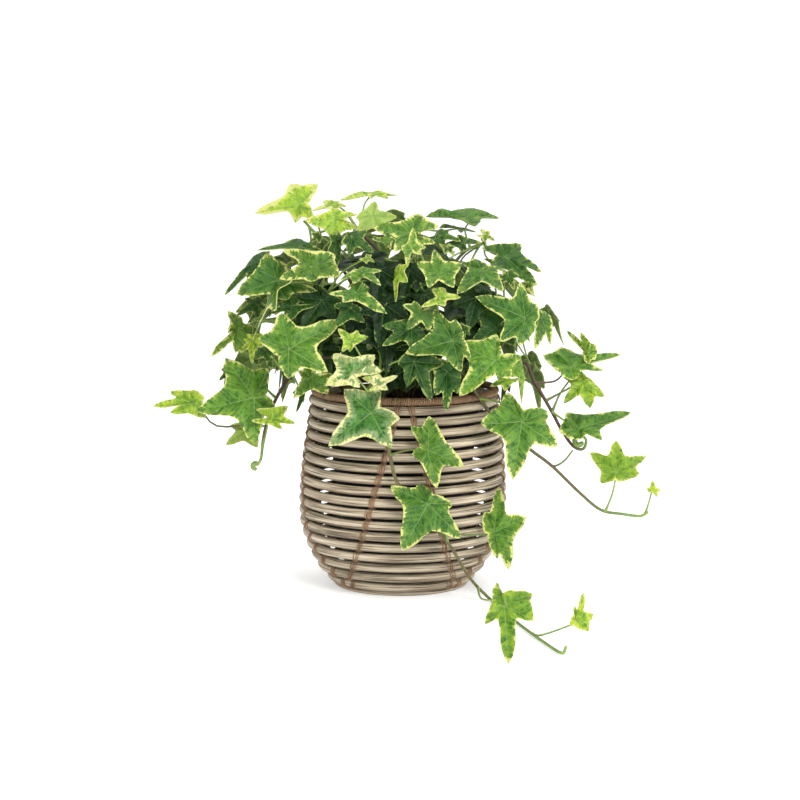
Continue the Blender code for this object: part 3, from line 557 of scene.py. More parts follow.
def crumb_tree():
    """Crumbs of compost strewn over the guide's faces."""
    wires, given = growing_tree("compost_crumbs", Density=130000.0, Seed=3, Crumb_Radius=0.0011)
    strewn = wires.add(
        "GeometryNodeDistributePointsOnFaces",
        {0: given["Geometry"], "Density": given["Density"], "Seed": given["Seed"]},
    ).outputs
    crumb = wires.grow("MeshIcoSphere", {0: given["Crumb Radius"], 1: 1})
    spread = wires.add(
        "FunctionNodeRandomValue", {0: (0.35, 0.35, 0.25), 1: (1.25, 1.0, 0.8), "Seed": given["Seed"]},
        data_type="FLOAT_VECTOR",
    ).outputs[0]
    placed = wires.grow(
        "InstanceOnPoints", {0: strewn["Points"], 2: crumb, "Rotation": strewn["Rotation"], "Scale": spread}
    )
    return tree_end(wires, placed, given)


def grown(name, guide, tree, **sizes):
    """The plain mesh that a tree makes from its guide mesh, as an object."""
    made = linked(bpy.data.objects.new(name, guide))
    grower = made.modifiers.new(tree.name, "NODES")
    grower.node_group = tree
    keys = {s.name: s.identifier for s in tree.interface.items_tree if s.in_out == "INPUT"}
    for label, value in sizes.items():
        grower[keys[label.replace("_", " ")]] = value
    ready = made.evaluated_get(bpy.context.evaluated_depsgraph_get())
    mesh = bpy.data.meshes.new_from_object(ready)
    made.modifiers.remove(grower)
    made.data = mesh
    mesh.name = name
    return made


def keep_values(mesh, **values):
    """Keeps a number or a vector at each point of a mesh, under its own name."""
    for label, numbers in values.items():
        numbers = np.array(numbers, np.float32)
        kind, field = ("FLOAT_VECTOR", "vector") if numbers.ndim == 2 else ("FLOAT", "value")
        mesh.attributes.new(label, kind, "POINT").data.foreach_set(field, numbers.ravel())


def smooth_piece(mesh, finish, sharp_from):
    """An object of a mesh, shaded smooth up to an angle in degrees, with its finish."""
    mesh.shade_smooth()
    mesh.set_sharp_from_angle(angle=math.radians(sharp_from))
    mesh.materials.append(finish)
    return linked(bpy.data.objects.new(mesh.name, mesh))


def guide_mesh(name, points, edges=(), **values):
    """Points for a tree to work from, with their own numbers or vectors."""
    mesh = bpy.data.meshes.new(name + "_guide")
    mesh.from_pydata([tuple(p) for p in points], list(edges), [])
    keep_values(mesh, **values)
    return mesh


class Paths:
    """Chains of points for rods, with the thickness and tone at every point."""

    def __init__(self):
        self.points = []
        self.edges = []
        self.thickness = []
        self.tone = []
        self.seed = []

    def add(self, points, thickness, tone=0.5, closed=False):
        first = len(self.points)
        count = len(points)
        thickness = np.broadcast_to(thickness, count)
        self.points += [Vector((*p.xy, max(p.z, thick + 0.00005))) for p, thick in zip(points, thickness)]
        self.thickness += list(thickness)
        self.tone += list(np.broadcast_to(tone, count))
        self.seed += [first * 0.37 % 50.0] * count
        self.edges += [(first + n, first + n + 1) for n in range(count - 1)]
        if closed:
            self.edges.append((first + count - 1, first))

    def rods(self, name, tree, finish, sides=8, squash=1.0):
        guide = guide_mesh(
            name, self.points, self.edges,
            thickness=self.thickness, tone=self.tone, rod_seed=self.seed,
        )
        return grown(name, guide, tree, Sides=sides, Squash=squash, Finish=finish)


def turned_shell(name, outline, segments, finish, closed=True):
    """A solid turned about Z from an outline of (radius, height), or an open sheet."""
    count = len(outline)
    points = [
        at_angle(turn / segments, radius, height)
        for turn in range(segments) for radius, height in outline
    ]
    faces = [tuple(turn * count for turn in reversed(range(segments)))]
    for here in range(0, segments * count, count):
        there = (here + count) % (segments * count)
        for place in range(count - 1):
            faces.append((here + place, there + place, there + place + 1, here + place + 1))
    if closed:
        faces.append(tuple(turn * count + count - 1 for turn in range(segments)))
    mesh = bpy.data.meshes.new(name)
    mesh.from_pydata(points, [], faces)
    return smooth_piece(mesh, finish, 35)


def leg_angle(leg, height):
    """Where round the basket a leg stands: the slanted legs open downwards in pairs."""
    pair, side = divmod(leg, 2)
    offset = LEG_OFFSET_AT_TOP + (TOP_HOOP_HEIGHT - height) * LEG_OFFSET_SLOPE
    swing = min(math.asin(offset / basket_radius(height)), LEG_WIDEST_SWING)
    return -math.pi / 2 + pair * math.tau / (LEG_COUNT / 2) + (swing if side else -swing)


def rod_middle(place):
    """(radius, height) of the hoops' middle line; a half place lies between two hoops."""
    height = hoop_height(place)
    return np.array((basket_radius(height) - HOOP_ROD / 2, height))


def leg_point(leg, place, outward):
    """A point on a leg, measured square to the basket's side from the hoops' middle line."""
    along = rod_middle(max(place - 0.5, 0)) - rod_middle(min(place + 0.5, HOOP_COUNT - 1))
    square = np.array((along[1], -along[0])) / np.hypot(*along)
    radius, height = rod_middle(place) + square * outward
    angle = leg_angle(leg, hoop_height(place))
    return Vector((
        basket_axis(height) + radius * math.cos(angle), radius * math.sin(angle), height
    ))


class Leaf:
    """A leaf by its vein junction, the way its face looks and the spans to its lobe tips."""

    def __init__(self, kind, junction, face, spans, stalk=None, full=0.0, woody=0.16, steps=NAMED_EDGE_STEPS):
        self.kind = kind
        self.junction = junction
        self.face = face
        self.stalk = stalk
        self.full = full
        self.woody = woody
        self.edge_steps = steps
        self.length = spans[0].length
        self.main = spans[0].normalized()
        self.side = face.cross(self.main)
        self.lobes = self.sorted_lobes(spans)

    def sorted_lobes(self, spans):
        """(angle, length) of the five lobes, with the unseen ones as the leaf's kind has them."""
        places = [0, -LATERAL_LOBE[0], LATERAL_LOBE[0], -BASAL_LOBE[0], BASAL_LOBE[0]]
        lengths = [1.0] + [LATERAL_LOBE[1]] * 2 + [BASAL_LOBE[1]] * 2
        lobes = {place: (place, self.length * part) for place, part in zip(places, lengths)}
        free = places[1:]
        for span in spans[1:]:
            angle = math.degrees(math.atan2(span.dot(self.side), span.dot(self.main)))
            place = min(free, key=lambda p: abs(p - angle))
            free.remove(place)
            reach = min(max(angle, place - LOBE_SWING), place + LOBE_SWING)
            lobes[place] = (reach, span.length)
        return sorted(lobes.values())

    def outline(self):
        """(angle, distance from the junction, lift) round the blade's cut edge."""
        filled = self.full * FULL_AT_PETIOLE
        shoulder = self.length * (SHOULDER_LENGTH + filled)
        edge = [(-180, self.length * (SINUS_LENGTH + filled), 0.0)]
        edge.append((min(-SHOULDER_ANGLE, (self.lobes[0][0] - 180) / 2), shoulder, 0.0))
        for place, (angle, length) in enumerate(self.lobes):
            if place:
                before, short = self.lobes[place - 1]
                of_shorter = self.full + (NOTCH_BY_MAIN if place in (2, 3) else NOTCH_BY_BASAL)
                notch = min(length, short) * of_shorter + max(length, short) * NOTCH_OF_LONGER
                halfway = math.cos(math.radians(angle - before) / 2) * 2 / (1 / length + 1 / short)
                notch = min(notch, halfway * NOTCH_OF_CHORD)
                lift = self.length * NOTCH_LIFT
                edge.append(((angle + before) / 2, notch, lift))
            edge.append((angle, length, -TIP_DROOP * length))
        edge.append((max(SHOULDER_ANGLE, (self.lobes[-1][0] + 180) / 2), shoulder, 0.0))
        return edge

    def cut_edge(self, draw):
        """Points round the fine blade: (x, y, lift, nearness to a tip, lobe number)."""
        corners = [(a, d, z) for a, d, z in self.outline()]
        places = [
            Vector((d * math.sin(math.radians(a)), d * math.cos(math.radians(a)), z))
            for a, d, z in corners
        ]
        edge = []
        for corner, (here, after) in enumerate(zip(places, places[1:] + places[:1])):
            from_tip = corner in (2, 4, 6, 8, 10)
            to_tip = corner in (1, 3, 5, 7, 9)
            lobe = min(max((corner - 1) // 2, 0), 4)
            span = (after - here).xy
            outward = Vector((-span.y, span.x))
            if outward.dot((here + after).xy) < 0.0:
                outward.negate()
            for step in range(self.edge_steps):
                part = step / self.edge_steps
                ahead = 1.0 - part if to_tip else part
                swell = math.sin(math.pi * ahead)
                if from_tip or to_tip:
                    swell += 0.45 * math.sin(math.tau * ahead)
                bulge = outward * EDGE_BULGE * swell
                wave = self.length * 0.012 * draw.uniform(-1.0, 1.0) * (step > 0)
                place = here.lerp(after, part)
                place.xy += bulge + outward.normalized() * wave
                near = (1.0 - part) * from_tip + part * to_tip
                edge.append([place, near, lobe, from_tip and step == 0])
        for _ in range(2):
            places = [e[0].copy() for e in edge]
            for number, item in enumerate(edge):
                if not item[3]:
                    before = places[number - 1]
                    after = places[(number + 1) % len(edge)]
                    item[0] = places[number] * 0.56 + (before + after) * 0.22
        for item in edge:
            if not item[3]:
                item[0].xy *= 1.0 + EDGE_TEETH * draw.uniform(-1.6, 1.6)
        return edge

    def fine_blade(self, draw):
        """The blade's points, faces, vein coordinates and edge distances."""
        edge = self.cut_edge(draw)
        count = len(edge)
        rim = np.array([[e[0].x, e[0].y, e[0].z] for e in edge])
        near = np.array([e[1] for e in edge])
        fold = draw.uniform(-0.03, 0.09)
        turn = draw.uniform(0.0, math.tau)
        around = np.arange(count) / count * math.tau
        flat = [np.zeros((1, 3))]
        for share in BLADE_RINGS:
            ring = rim * share
            ring[:, 2] = rim[:, 2] * share**1.7
            hump = 4.0 * share * (1.0 - share) + 0.35 * share
            ring[:, 2] += self.length * VEIN_PUFF * hump * (0.9 - 1.7 * near)
            ring[:, 2] += self.length * EDGE_WAVE * share**2 * np.sin(5.0 * around + turn)
            ring[:, 2] += fold * np.abs(ring[:, 0])
            flat.append(ring)
        flat = np.concatenate(flat)
        starts = rim[:, :2]
        spans = np.roll(rim[:, :2], -1, axis=0) - starts
        away = flat[:, None, :2] - starts[None]
        along = np.clip((away * spans).sum(2) / np.maximum((spans**2).sum(1), 1e-12), 0.0, 1.0)
        distance = np.linalg.norm(away - along[..., None] * spans, axis=2).min(1)
        distance[-count:] = 0.0
        half = np.array([0.0, 0.0, BLADE_THICKNESS / 2])
        both = np.concatenate([flat + half, flat - half])
        frame_axes = np.array([self.side, self.main, self.face])
        points = both @ frame_axes + np.array(self.junction)
        under = len(flat)
        faces = []
        lobes = []
        for place in range(count):
            after = (place + 1) % count
            lobe = edge[place][2]
            strips = [(0, 1 + place, 1 + after)]
            for ring in range(len(BLADE_RINGS) - 1):
                here = 1 + ring * count
                beyond = here + count
                strips.append((here + place, beyond + place, beyond + after, here + after))
            for strip in strips:
                faces.append(strip)
                faces.append(tuple(under + corner for corner in reversed(strip)))
            last = 1 + (len(BLADE_RINGS) - 1) * count
            faces.append((last + place, under + last + place, under + last + after, last + after))
            lobes += [lobe] * (2 * len(strips) + 1)
        turns = np.radians([self.lobes[lobe][0] for lobe in lobes])
        veins = []
        for face, angle in zip(faces, turns):
            for corner in face:
                x, y = both[corner, :2] / self.length
                veins.append((
                    x * math.sin(angle) + y * math.cos(angle), x * math.cos(angle) - y * math.sin(angle)
                ))
        below = np.repeat([0.0, 1.0], under)
        return points, faces, veins, np.tile(distance * 1000.0, 2), below

    def petiole_path(self, stem):
        """The leaf's stalk, from the stem point that suits it to the vein junction."""
        end = self.junction - self.face * BLADE_THICKNESS
        near_end = end - self.main * self.length * PETIOLE_END
        if self.stalk:
            leaving, bend = self.stalk
            sight = ray(leaving).normalized()
            start = min(stem, key=lambda p: sight.cross(p - EYE).length)
            elbow = seen_at(bend, -(start.y + end.y) / 2)
        else:
            wanted = self.length * PETIOLE_SHARE
            start = min(stem, key=lambda p: abs((p - self.junction).length - wanted))
            span = (start - near_end).length
            elbow = near_end.lerp(start, ELBOW_SHARE)
            elbow -= (self.main * ELBOW_DROP + self.face * ELBOW_SINK) * span
        near_end -= self.face * BLADE_THICKNESS
        return smooth_route([start, elbow, near_end, end], 4)


def seen(kind, at, *tips, front=None, share=1.0, aside=0.0, up=0.35, floor=None, **traits):
    """A leaf where the photograph shows it: the pixels of its junction and its tips.

    front is its distance before the pot's axis, or share its depth in the crown, or
    floor its height over the surface in front of the pot. Its face looks at the viewer,
    tipped aside to the right and up. Its traits are those that a Leaf takes.
    """
    face = (-FORWARD + RIGHT * aside + UP * up).normalized()
    if floor is not None:
        junction = seen_on_floor(at, floor)
    else:
        junction = seen_at(at, crown_front(at, share) if front is None else front)
    spans = [seen_on_plane(tip, junction, face) - junction for tip in tips]
    return Leaf(kind, junction, face, spans, **traits)


KNUCKLE_RADIUS = 0.004
KNUCKLE_TOP_RADIUS = 0.003
CROWN_BASE = (0.002, 0.004, 0.124)
STRAIGHT_STEM = 0.008
BARE_STEM_REACH = 0.06
BARE_STEM_NODES = 6
ROOTS = {
    "crown": CROWN_BASE[:2], "left_trail": (-0.034, -0.022), "right_upper_trail": (0.038, -0.018),
    "right_lower_trail": (0.034, -0.03), "front_trail": (-0.012, -0.042),
}


def root_start(name):
    """The lowest points of a stem: inside its hole in the soil, at the mouth and above it."""
    heights = (SOIL_TOP - SOIL_HOLE_DEPTH, SOIL_TOP + SOIL_CROWN, SOIL_TOP + STRAIGHT_STEM)
    return [Vector((*ROOTS[name], height)) for height in heights]


CROWN_STEMS = (
    ((-0.02, -0.004, 0.185), (-0.048, -0.01, 0.236), (-0.07, -0.012, 0.262)),
    ((-0.028, -0.016, 0.17), (-0.068, -0.026, 0.192), (-0.105, -0.02, 0.192)),
    ((-0.024, -0.03, 0.158), (-0.056, -0.052, 0.17), (-0.084, -0.046, 0.16)),
    ((-0.006, -0.036, 0.156), (-0.018, -0.066, 0.16), (-0.024, -0.08, 0.15)),
    ((0.014, -0.034, 0.168), (0.034, -0.06, 0.184), (0.05, -0.07, 0.17)),
    ((0.034, -0.02, 0.176), (0.066, -0.03, 0.204), (0.088, -0.024, 0.196)),
    ((0.016, -0.004, 0.196), (0.04, -0.006, 0.236), (0.058, -0.003, 0.246)),
    ((0.006, -0.02, 0.186), (0.006, -0.034, 0.234), (0.014, -0.036, 0.248)),
    ((-0.008, 0.002, 0.2), (-0.0156, -0.002, 0.236), (-0.03, -0.002, 0.2525), (-0.038, 0.0, 0.264)),
    ((-0.024, -0.022, 0.18), (-0.052, -0.044, 0.214), (-0.072, -0.044, 0.224)),
    ((-0.026, 0.022, 0.176), (-0.056, 0.044, 0.204), (-0.082, 0.05, 0.196)),
    ((0.000, 0.032, 0.176), (-0.006, 0.062, 0.208), (-0.008, 0.082, 0.19)),
    ((0.026, 0.024, 0.18), (0.052, 0.044, 0.21), (0.072, 0.05, 0.196)),
    ((0.006, 0.014, 0.2), (0.01, 0.024, 0.24), (0.013, 0.028, 0.254)),
)

CROWN_LEAVES = [
    seen("mid", (289, 349), (343, 317), (281, 312), (328, 370), (258, 338), (288, 377), share=1.12),
    seen("grey", (353, 373), (333, 353), (375, 353), (381, 370), (326, 384), (360, 387)),
    seen("grey", (378, 384), (398, 375), (388, 390), (368, 389), (362, 377), (380, 374)),
    seen("pale", (352, 342), (338, 328), (368, 336), (342, 352), share=0.95),
    seen("gold", (311, 377), (293, 397), (328, 393), (332, 373), (298, 370), share=0.86),
    seen("dark", (301, 392), (299, 412), front=0.052, aside=2.5, up=0.2),
    seen("dark", (414, 362), (431, 400), (398, 361), (407, 386), share=0.97),
    seen("dark", (432, 366), (434, 398), share=0.9, aside=1.5, up=0.1),
    seen("dark", (447, 372), (447, 411), (435, 395), (459, 393), front=0.082, aside=0.3, up=0.1, full=0.2),
    seen("dusky", (411, 329), (382, 345), (382, 325), (430, 343), (431, 312), share=0.92),
    seen("shade", (420, 313), (408, 328), (440, 303), share=0.98, aside=0.8, up=0.8),
    seen("shade", (453, 341), (405, 351), (435, 309), (461, 371), (456, 320), share=1.06),
    seen("dark", (464, 328), (458, 340)),
    seen("bright", (495, 361), (459, 395), (457, 342), (496, 333), (522, 355), (510, 378), share=1.1),
    seen("dusky", (496, 328), (470, 345), (520, 300), (478, 310), (515, 345), share=0.8),
    seen("shade", (525, 318), (478, 295), (522, 281), (539, 306), (520, 345), share=1.15, aside=0.35, up=0.2),
    seen("shade", (541, 318), (538, 348), (553, 344), share=0.9, aside=1.0, up=0.3),
    seen("mid", (438, 275), (434, 248), (462, 262), (454, 287), (428, 287), (417, 260), share=1.06),
    seen("pale", (440, 297), (461, 296), (421, 306), (432, 288), (445, 306), share=1.02, up=0.9),
    seen("mid", (411, 233), (373, 226), (417, 211), (439, 224), (436, 240), up=0.6),
    seen("mid", (412, 248), (413, 227), (401, 247), (426, 247), (411, 267)),
    seen("dusky", (440, 236), (461, 239), (440, 228), (421, 238), share=0.8, up=1.0),
    seen("dark", (462, 244), (445, 243), (482, 244), (462, 252), share=0.8),
    seen("bare", (467, 218), (426, 212), (499, 215), (448, 208), (475, 226), (452, 216), front=0.0,
         up=2.4, stalk=((463, 240), (465, 230)), full=0.3),
    seen("bright", (485, 236), (495, 240), (476, 234), (480, 229), (490, 231), front=0.02, up=0.6),
    seen("dusky", (505, 257), (543, 269), (538, 283), (482, 247), front=0.03, aside=0.2, up=0.7),
    seen("bright", (528, 284), (534, 296), front=0.03),
    seen("shade", (482, 270), (457, 290), (503, 290), (463, 262), (500, 266), share=0.95, up=1.1),
    seen("dark", (448, 248), (455, 256), (439, 243), share=0.9),
    seen("dark", (508, 275), (515, 290), (503, 268), share=0.9),
    seen("olive", (505, 380), (490, 386), (520, 378), share=0.95),
    seen("olive", (517, 366), (526, 402), front=0.04, aside=2.3, up=0.7),
    seen("tip", (299, 205), (254, 210), (291, 182), (318, 183), (295, 221), front=0.012, up=0.5),
    seen("dark", (300, 246), (257, 247), (323, 249), share=0.9, up=2.6),
    seen("dark", (318, 236), (309, 243), share=0.8),
    seen("shade", (277, 281), (236, 292), (268, 252), (317, 290), (285, 300), share=0.95, full=0.15),
    seen("gold", (312, 267), (340, 274), (283, 248), (334, 252), (279, 277), (312, 281), share=1.1,
         up=0.5, full=0.7),
    seen("dark", (260, 263), (221, 291), (238, 270), (246, 280), front=0.024, aside=-1.2, up=1.6),
    seen("gold", (278, 288), (249, 337), aside=-4.2, up=2.4),
    seen("dark", (258, 305), (236, 314), front=0.03, up=0.8),
    seen("gold", (238, 328), (212, 354), (236, 352), (229, 333), front=0.028, aside=0.5, up=0.8),
    seen("young", (252, 340), (252, 363), (240, 352), (263, 354), front=0.034),
    seen("dark", (292, 306), (269, 312), (317, 300), (290, 320), share=0.9, up=0.8),
    seen("dark", (266, 350), (272, 369), share=0.8),
    seen("pale", (335, 219), (304, 219), (334, 238), (357, 226), (334, 208), (357, 214), share=0.9,
         full=0.25),
    seen("under", (373, 216), (354, 236), (380, 229), (397, 216), (356, 217), (375, 200), share=0.9,
         full=0.25),
    seen("tip", (335, 205), (312, 209), (346, 205), share=0.7, up=1.8),
    seen("pale", (373, 195), (398, 192), (341, 198), front=-0.01, up=3.0, stalk=((361, 232), (364, 206))),
    seen("dark", (352, 238), (374, 252), (345, 233), (341, 243), share=0.95),
    seen("bright", (367, 258), (375, 262), (359, 259), share=0.9),
    seen("shade", (388, 242), (372, 238), (401, 245), (386, 248), share=0.95),
    seen("mid", (362, 272), (381, 283), (340, 277), (364, 266), share=1.02, up=1.6),
    seen("mid", (356, 293), (387, 311), (329, 293), (343, 302), (369, 286), share=1.05, up=0.8),
    seen("dark", (350, 308), (335, 326), (365, 322), share=0.9),
    seen("dark", (336, 241), (339, 271), share=0.9, aside=2.5, up=0.0),
    # These near-black leaves fill the bush's dark inside: painted shade.
    seen("deep_shade", (380, 270), (376, 306), share=0.72),
    seen("deep_shade", (385, 305), (378, 346), share=0.75),
    seen("young", (400, 272), (392, 301), share=0.9, aside=-2.3, up=0.65),
    seen("deep_shade", (410, 270), (402, 300), share=0.7),
    seen("deep_shade", (476, 298), (468, 330), (500, 305), (452, 305), share=0.75),
    seen("deep_shade", (322, 300), (300, 330), share=0.75),
]

LEFT_TRAIL_LEAVES = [
    seen("mid", (254, 398), (195, 409), (225, 356), (254, 442), (268, 368), (275, 406), front=0.045),
    seen("young", (272, 419), (295, 423), (288, 406), (282, 429), (251, 420), (256, 409), front=0.056),
    seen("young", (194, 403), (152, 404), (170, 390), (170, 412), (194, 389), front=0.03,
         up=0.6, stalk=((267, 424), (217, 426)), woody=0.55),
    seen("under", (246, 430), (225, 444), (230, 425), (257, 447), (262, 425), front=0.03),
    seen("dark", (229, 372), (219, 380), (224, 388), front=0.03),
]

RIGHT_UPPER_LEAVES = [
    seen("bright", (571, 368), (622, 350), (561, 345), (543, 352), (604, 367), (574, 377), front=0.03,
         up=1.1, stalk=((536, 384), (555, 381)), woody=0.75),
    seen("bright", (587, 355), (567, 329), (581, 331), (591, 342), (584, 360), (592, 357), front=0.027,
         stalk=((554, 410), (563, 389)), woody=0.36),
    seen("young", (583, 382), (564, 402), (605, 396), (590, 407), front=0.022, up=0.5, woody=0.36),
    seen("bright", (579, 429), (632, 408), (568, 410), (559, 428), (602, 438), (580, 437), front=0.044,
         up=1.3, stalk=((554, 413), (566, 422)), full=0.1),
]

RIGHT_LOWER_LEAVES = [
    seen("mid", (522, 422), (513, 479), (481, 423), (558, 445), (508, 391), (548, 410), front=0.064),
    seen("olive", (616, 473), (616, 439), (590, 451), (647, 455), (640, 473), front=0.022,
         stalk=((604, 511), (612, 495))),
    seen("young", (652, 490), (653, 480), (661, 490), (646, 489), (657, 497), front=0.022,
         stalk=((645, 513), (649, 502))),
]

FRONT_TRAIL_LEAVES = [
    seen("grey", (371, 413), (328, 445), (391, 448), (400, 418), (344, 389), (380, 389), front=0.083),
    seen("mid", (428, 450), (464, 465), (437, 487), (411, 426), (428, 415), (412, 453), front=0.086,
         woody=0.42),
    seen("mid", (428, 504), (402, 549), (391, 484), (462, 537), (419, 483), (452, 503), front=0.09),
    seen("bright", (494, 532), (527, 516), (499, 486), (509, 570), (488, 559), (484, 512), front=0.062,
         stalk=((440, 533), (470, 535)), woody=0.42),
    seen("plain", (504, 605), (509, 659), (485, 623), (534, 617), (501, 581), (532, 589), floor=0.031,
         up=1.0, stalk=((479, 590), (482, 599))),
    seen("young", (576, 620), (584, 591), (594, 614), (589, 631), (576, 605), (574, 615), floor=0.016,
         stalk=((534, 633), (542, 635))),
]

def route_seen(*places):
    """A route through pixels, each with its distance in front of the pot's axis."""
    return [seen_at((x, y), front) for x, y, front in places]


LEFT_TRAIL_ROUTE = [Vector((-0.044, -0.028, 0.146))] + route_seen(
    (312, 352, 0.036), (288, 379, 0.034), (274, 403, 0.036), (266, 426, 0.036), (263, 440, 0.036),
    (261, 458, 0.036), (257, 465, 0.036),
)
RIGHT_UPPER_ROUTE = [Vector((0.052, -0.016, 0.146))] + route_seen(
    (521, 362, 0.024), (535, 383, 0.028), (552, 412, 0.032), (561, 429, 0.034), (573, 446, 0.034),
    (583, 449, 0.034), (586, 440, 0.036), (579, 433, 0.037),
)
RIGHT_LOWER_ROUTE = route_seen(
    (448, 360, 0.034), (462, 373, 0.041), (474, 390, 0.046), (489, 411, 0.04), (508, 430, 0.037),
    (531, 450, 0.037), (552, 466, 0.038), (580, 493, 0.034), (601, 510, 0.028), (622, 514, 0.026),
    (640, 516, 0.024), (648, 512, 0.022),
)
RIGHT_LOWER_SHOOT = route_seen((546, 461, 0.038), (554, 466, 0.037), (564, 461, 0.036), (573, 450, 0.035))
FRONT_TRAIL_ROUTE = [Vector((-0.014, -0.058, 0.149))] + route_seen(
    (379, 401, 0.0735), (386, 430, 0.077), (390, 455, 0.079), (397, 482, 0.08), (415, 505, 0.081),
    (433, 525, 0.081), (451, 547, 0.079), (470, 578, 0.07),
)
FRONT_TRAIL_ROUTE += [seen_on_floor((x, y), height) for x, y, height in (
    (491, 600, 0.0022), (519, 624, 0.0021), (548, 645, 0.0019), (562, 653, 0.002), (566, 647, 0.003),
)]


GOLDEN_ANGLE = 137.5
FAR_SIDE = 0.15
CLEAR_HEIGHT = 0.15
CLEAR_REACH = 0.085
HIDDEN = {
    "seed": 11, "count": 17, "lowest": -0.28, "rise": 1.16, "arc": (8, 164), "near": (0.8, 0.98),
    "far": (0.8, 0.98), "turn": 0.3, "upward": 0.55, "swing": 0.7, "lengths": (0.022, 0.036),
}
INNER = {
    "seed": 23, "count": 90, "lowest": -0.3, "rise": 1.22, "arc": (0, 360), "near": (0.5, 0.72),
    "far": (0.66, 0.93), "turn": 0.4, "upward": 0.45, "swing": 0.8, "lengths": (0.022, 0.034),
}


def strewn_leaves(steps, inner, seed, count, lowest, rise, arc, near, far, turn, upward, swing, lengths):
    """Leaves that the photograph doesn't show, a golden angle apart over the bush's form.

    The inner ones close the bush: shaded ones inside it and some over its far side.
    """
    draw = random.Random(seed)
    made = []
    for number in range(count):
        height = lowest + rise * (number + 0.5) / count
        angle = math.radians(arc[0] + (number * GOLDEN_ANGLE) % arc[1])
        level = math.sqrt(max(0.0, 1.0 - height**2))
        outward = Vector((level * math.cos(angle), level * math.sin(angle), height))
        depth = draw.uniform(*(near if outward.y < FAR_SIDE else far))
        junction = CROWN_MIDDLE + Vector(a * b for a, b in zip(outward, CROWN_REACH)) * depth
        if inner and junction.z < CLEAR_HEIGHT and junction.xy.length < CLEAR_REACH:
            continue
        face = outward + Vector((draw.uniform(-turn, turn), draw.uniform(-turn, turn), upward))
        face.normalize()
        down = Vector((draw.uniform(-swing, swing), draw.uniform(-swing, swing), -1.0))
        main_lobe = (down - face * down.dot(face)).normalized() * draw.uniform(*lengths)
        if not inner:
            kind = ("mid", "shade", "dark")[number % 3]
        elif outward.y < FAR_SIDE:
            # Inner leaves on the near side take the near-black kind: painted shade inside the bush.
            kind = "deep_shade"
        else:
            kind = draw.choice(("mid", "dark", "shade"))
        made.append(Leaf(kind, junction, face, [main_lobe], steps=steps))
    return made


def leaf_blades(name, leaves, finish, seed):
    """All blades of one stem or of the crown as one mesh, each with its own colouring."""
    draw = random.Random(seed)
    points, faces, veins, edge, kind, own = [], [], [], [], [], []
    first = 0
    for leaf in leaves:
        spots, cells, vein, distance, below = leaf.fine_blade(draw)
        light, yellow, grey, margin = LEAF_KINDS[leaf.kind]
        light = min(max(light + draw.uniform(-0.06, 0.06), 0.0), 1.0)
        yellow = min(max(yellow + draw.uniform(-0.12, 0.12), 0.0), 1.0)
        margin *= draw.uniform(0.6, 1.5)
        if leaf.kind == "under":
            below = np.ones_like(below)
        count = len(spots)
        spots[:, 2] = np.clip(spots[:, 2], 0.0006 - 0.0004 * below, 0.2876 - 0.0002 * below)
        points.append(spots)
        faces += [tuple(first + corner for corner in cell) for cell in cells]
        veins += vein
        edge.append(np.column_stack([distance, np.full(count, margin), below]))
        kind.append(np.tile((light, yellow, grey), (count, 1)))
        own += [draw.uniform(0.0, 40.0)] * count
        first += count
    mesh = bpy.data.meshes.new(name)
    mesh.from_pydata(np.concatenate(points).tolist(), [], faces)
    keep_values(mesh, leaf_edge=np.concatenate(edge), leaf_kind=np.concatenate(kind), leaf_seed=own)
    mesh.uv_layers.new(name="leaf_veins").data.foreach_set("uv", np.array(veins, np.float32).ravel())
    return smooth_piece(mesh, finish, 50)


def add_stem(paths, route, tone, start=STEM_RADIUS, end=STEM_TIP_RADIUS):
    """Adds a stem to the paths and gives the points where leaf stalks may leave it."""
    line = smooth_route(route, 5)
    tones = np.interp(np.linspace(0, 1, len(line)), (0.0, 0.7, 0.84, 1.0), (tone, tone, 0.28, 0.12))
    paths.add(line, np.linspace(start, end, len(line)), tones)
    return line


def add_petiole(paths, leaf, stem):
    line = leaf.petiole_path(stem)
    thickness = np.interp(np.linspace(0, 1, len(line)), PETIOLE_PLACES, PETIOLE_RADII)
    paths.add(line, thickness, leaf.woody)


def curled_tip(end, right, up, size, turn):
    """A curled young tip past a stem's end: a short spiral that thickens into a bud."""
    line = []
    for step in range(15):
        angle = turn + step / 14 * 5.2
        radius = size * (1.0 - 0.62 * step / 14)
        line.append(end + RIGHT * (right + radius * math.cos(angle)) + UP * (up + radius * math.sin(angle)))
    return line, np.interp(np.arange(15), (0, 3, 12, 14), (0.0011, 0.0019, 0.002, 0.0008)), 0.2


def young_shoot(route):
    line = smooth_route(route, 4)
    return line, np.linspace(0.0009, 0.0006, len(line)), np.linspace(0.72, 0.15, len(line))


def leafy_piece(name, looks, seed, sides, paths, leaves, leaving, shoots=()):
    """The rods of a node's stems and leaf stalks and its blades, in place of its solid."""
    rods, green, bark = looks
    for leaf in leaves:
        add_petiole(paths, leaf, leaving)
    for shoot in shoots:
        paths.add(*shoot)
    stems = paths.rods(name + "_stems", rods, bark, sides=sides)
    blades = leaf_blades(name + "_leaves", leaves, green, seed)
    for piece in (stems, blades):
        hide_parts(name)
    return stems, blades


def leafy_stem(name, route, leaves, looks, tone, seed, curl=None, shoot=None):
    """One trailing stem: fine leaves and rods that stand for the solid of that name."""
    paths = Paths()
    line = add_stem(paths, root_start(name) + route, tone)
    outside = [p for p in line if p.xy.length > BARE_STEM_REACH]
    shoots = ([curled_tip(line[-1], *curl)] if curl else []) + ([young_shoot(shoot)] if shoot else [])
    return leafy_piece(name, looks, seed, 9, paths, leaves, outside, shoots)


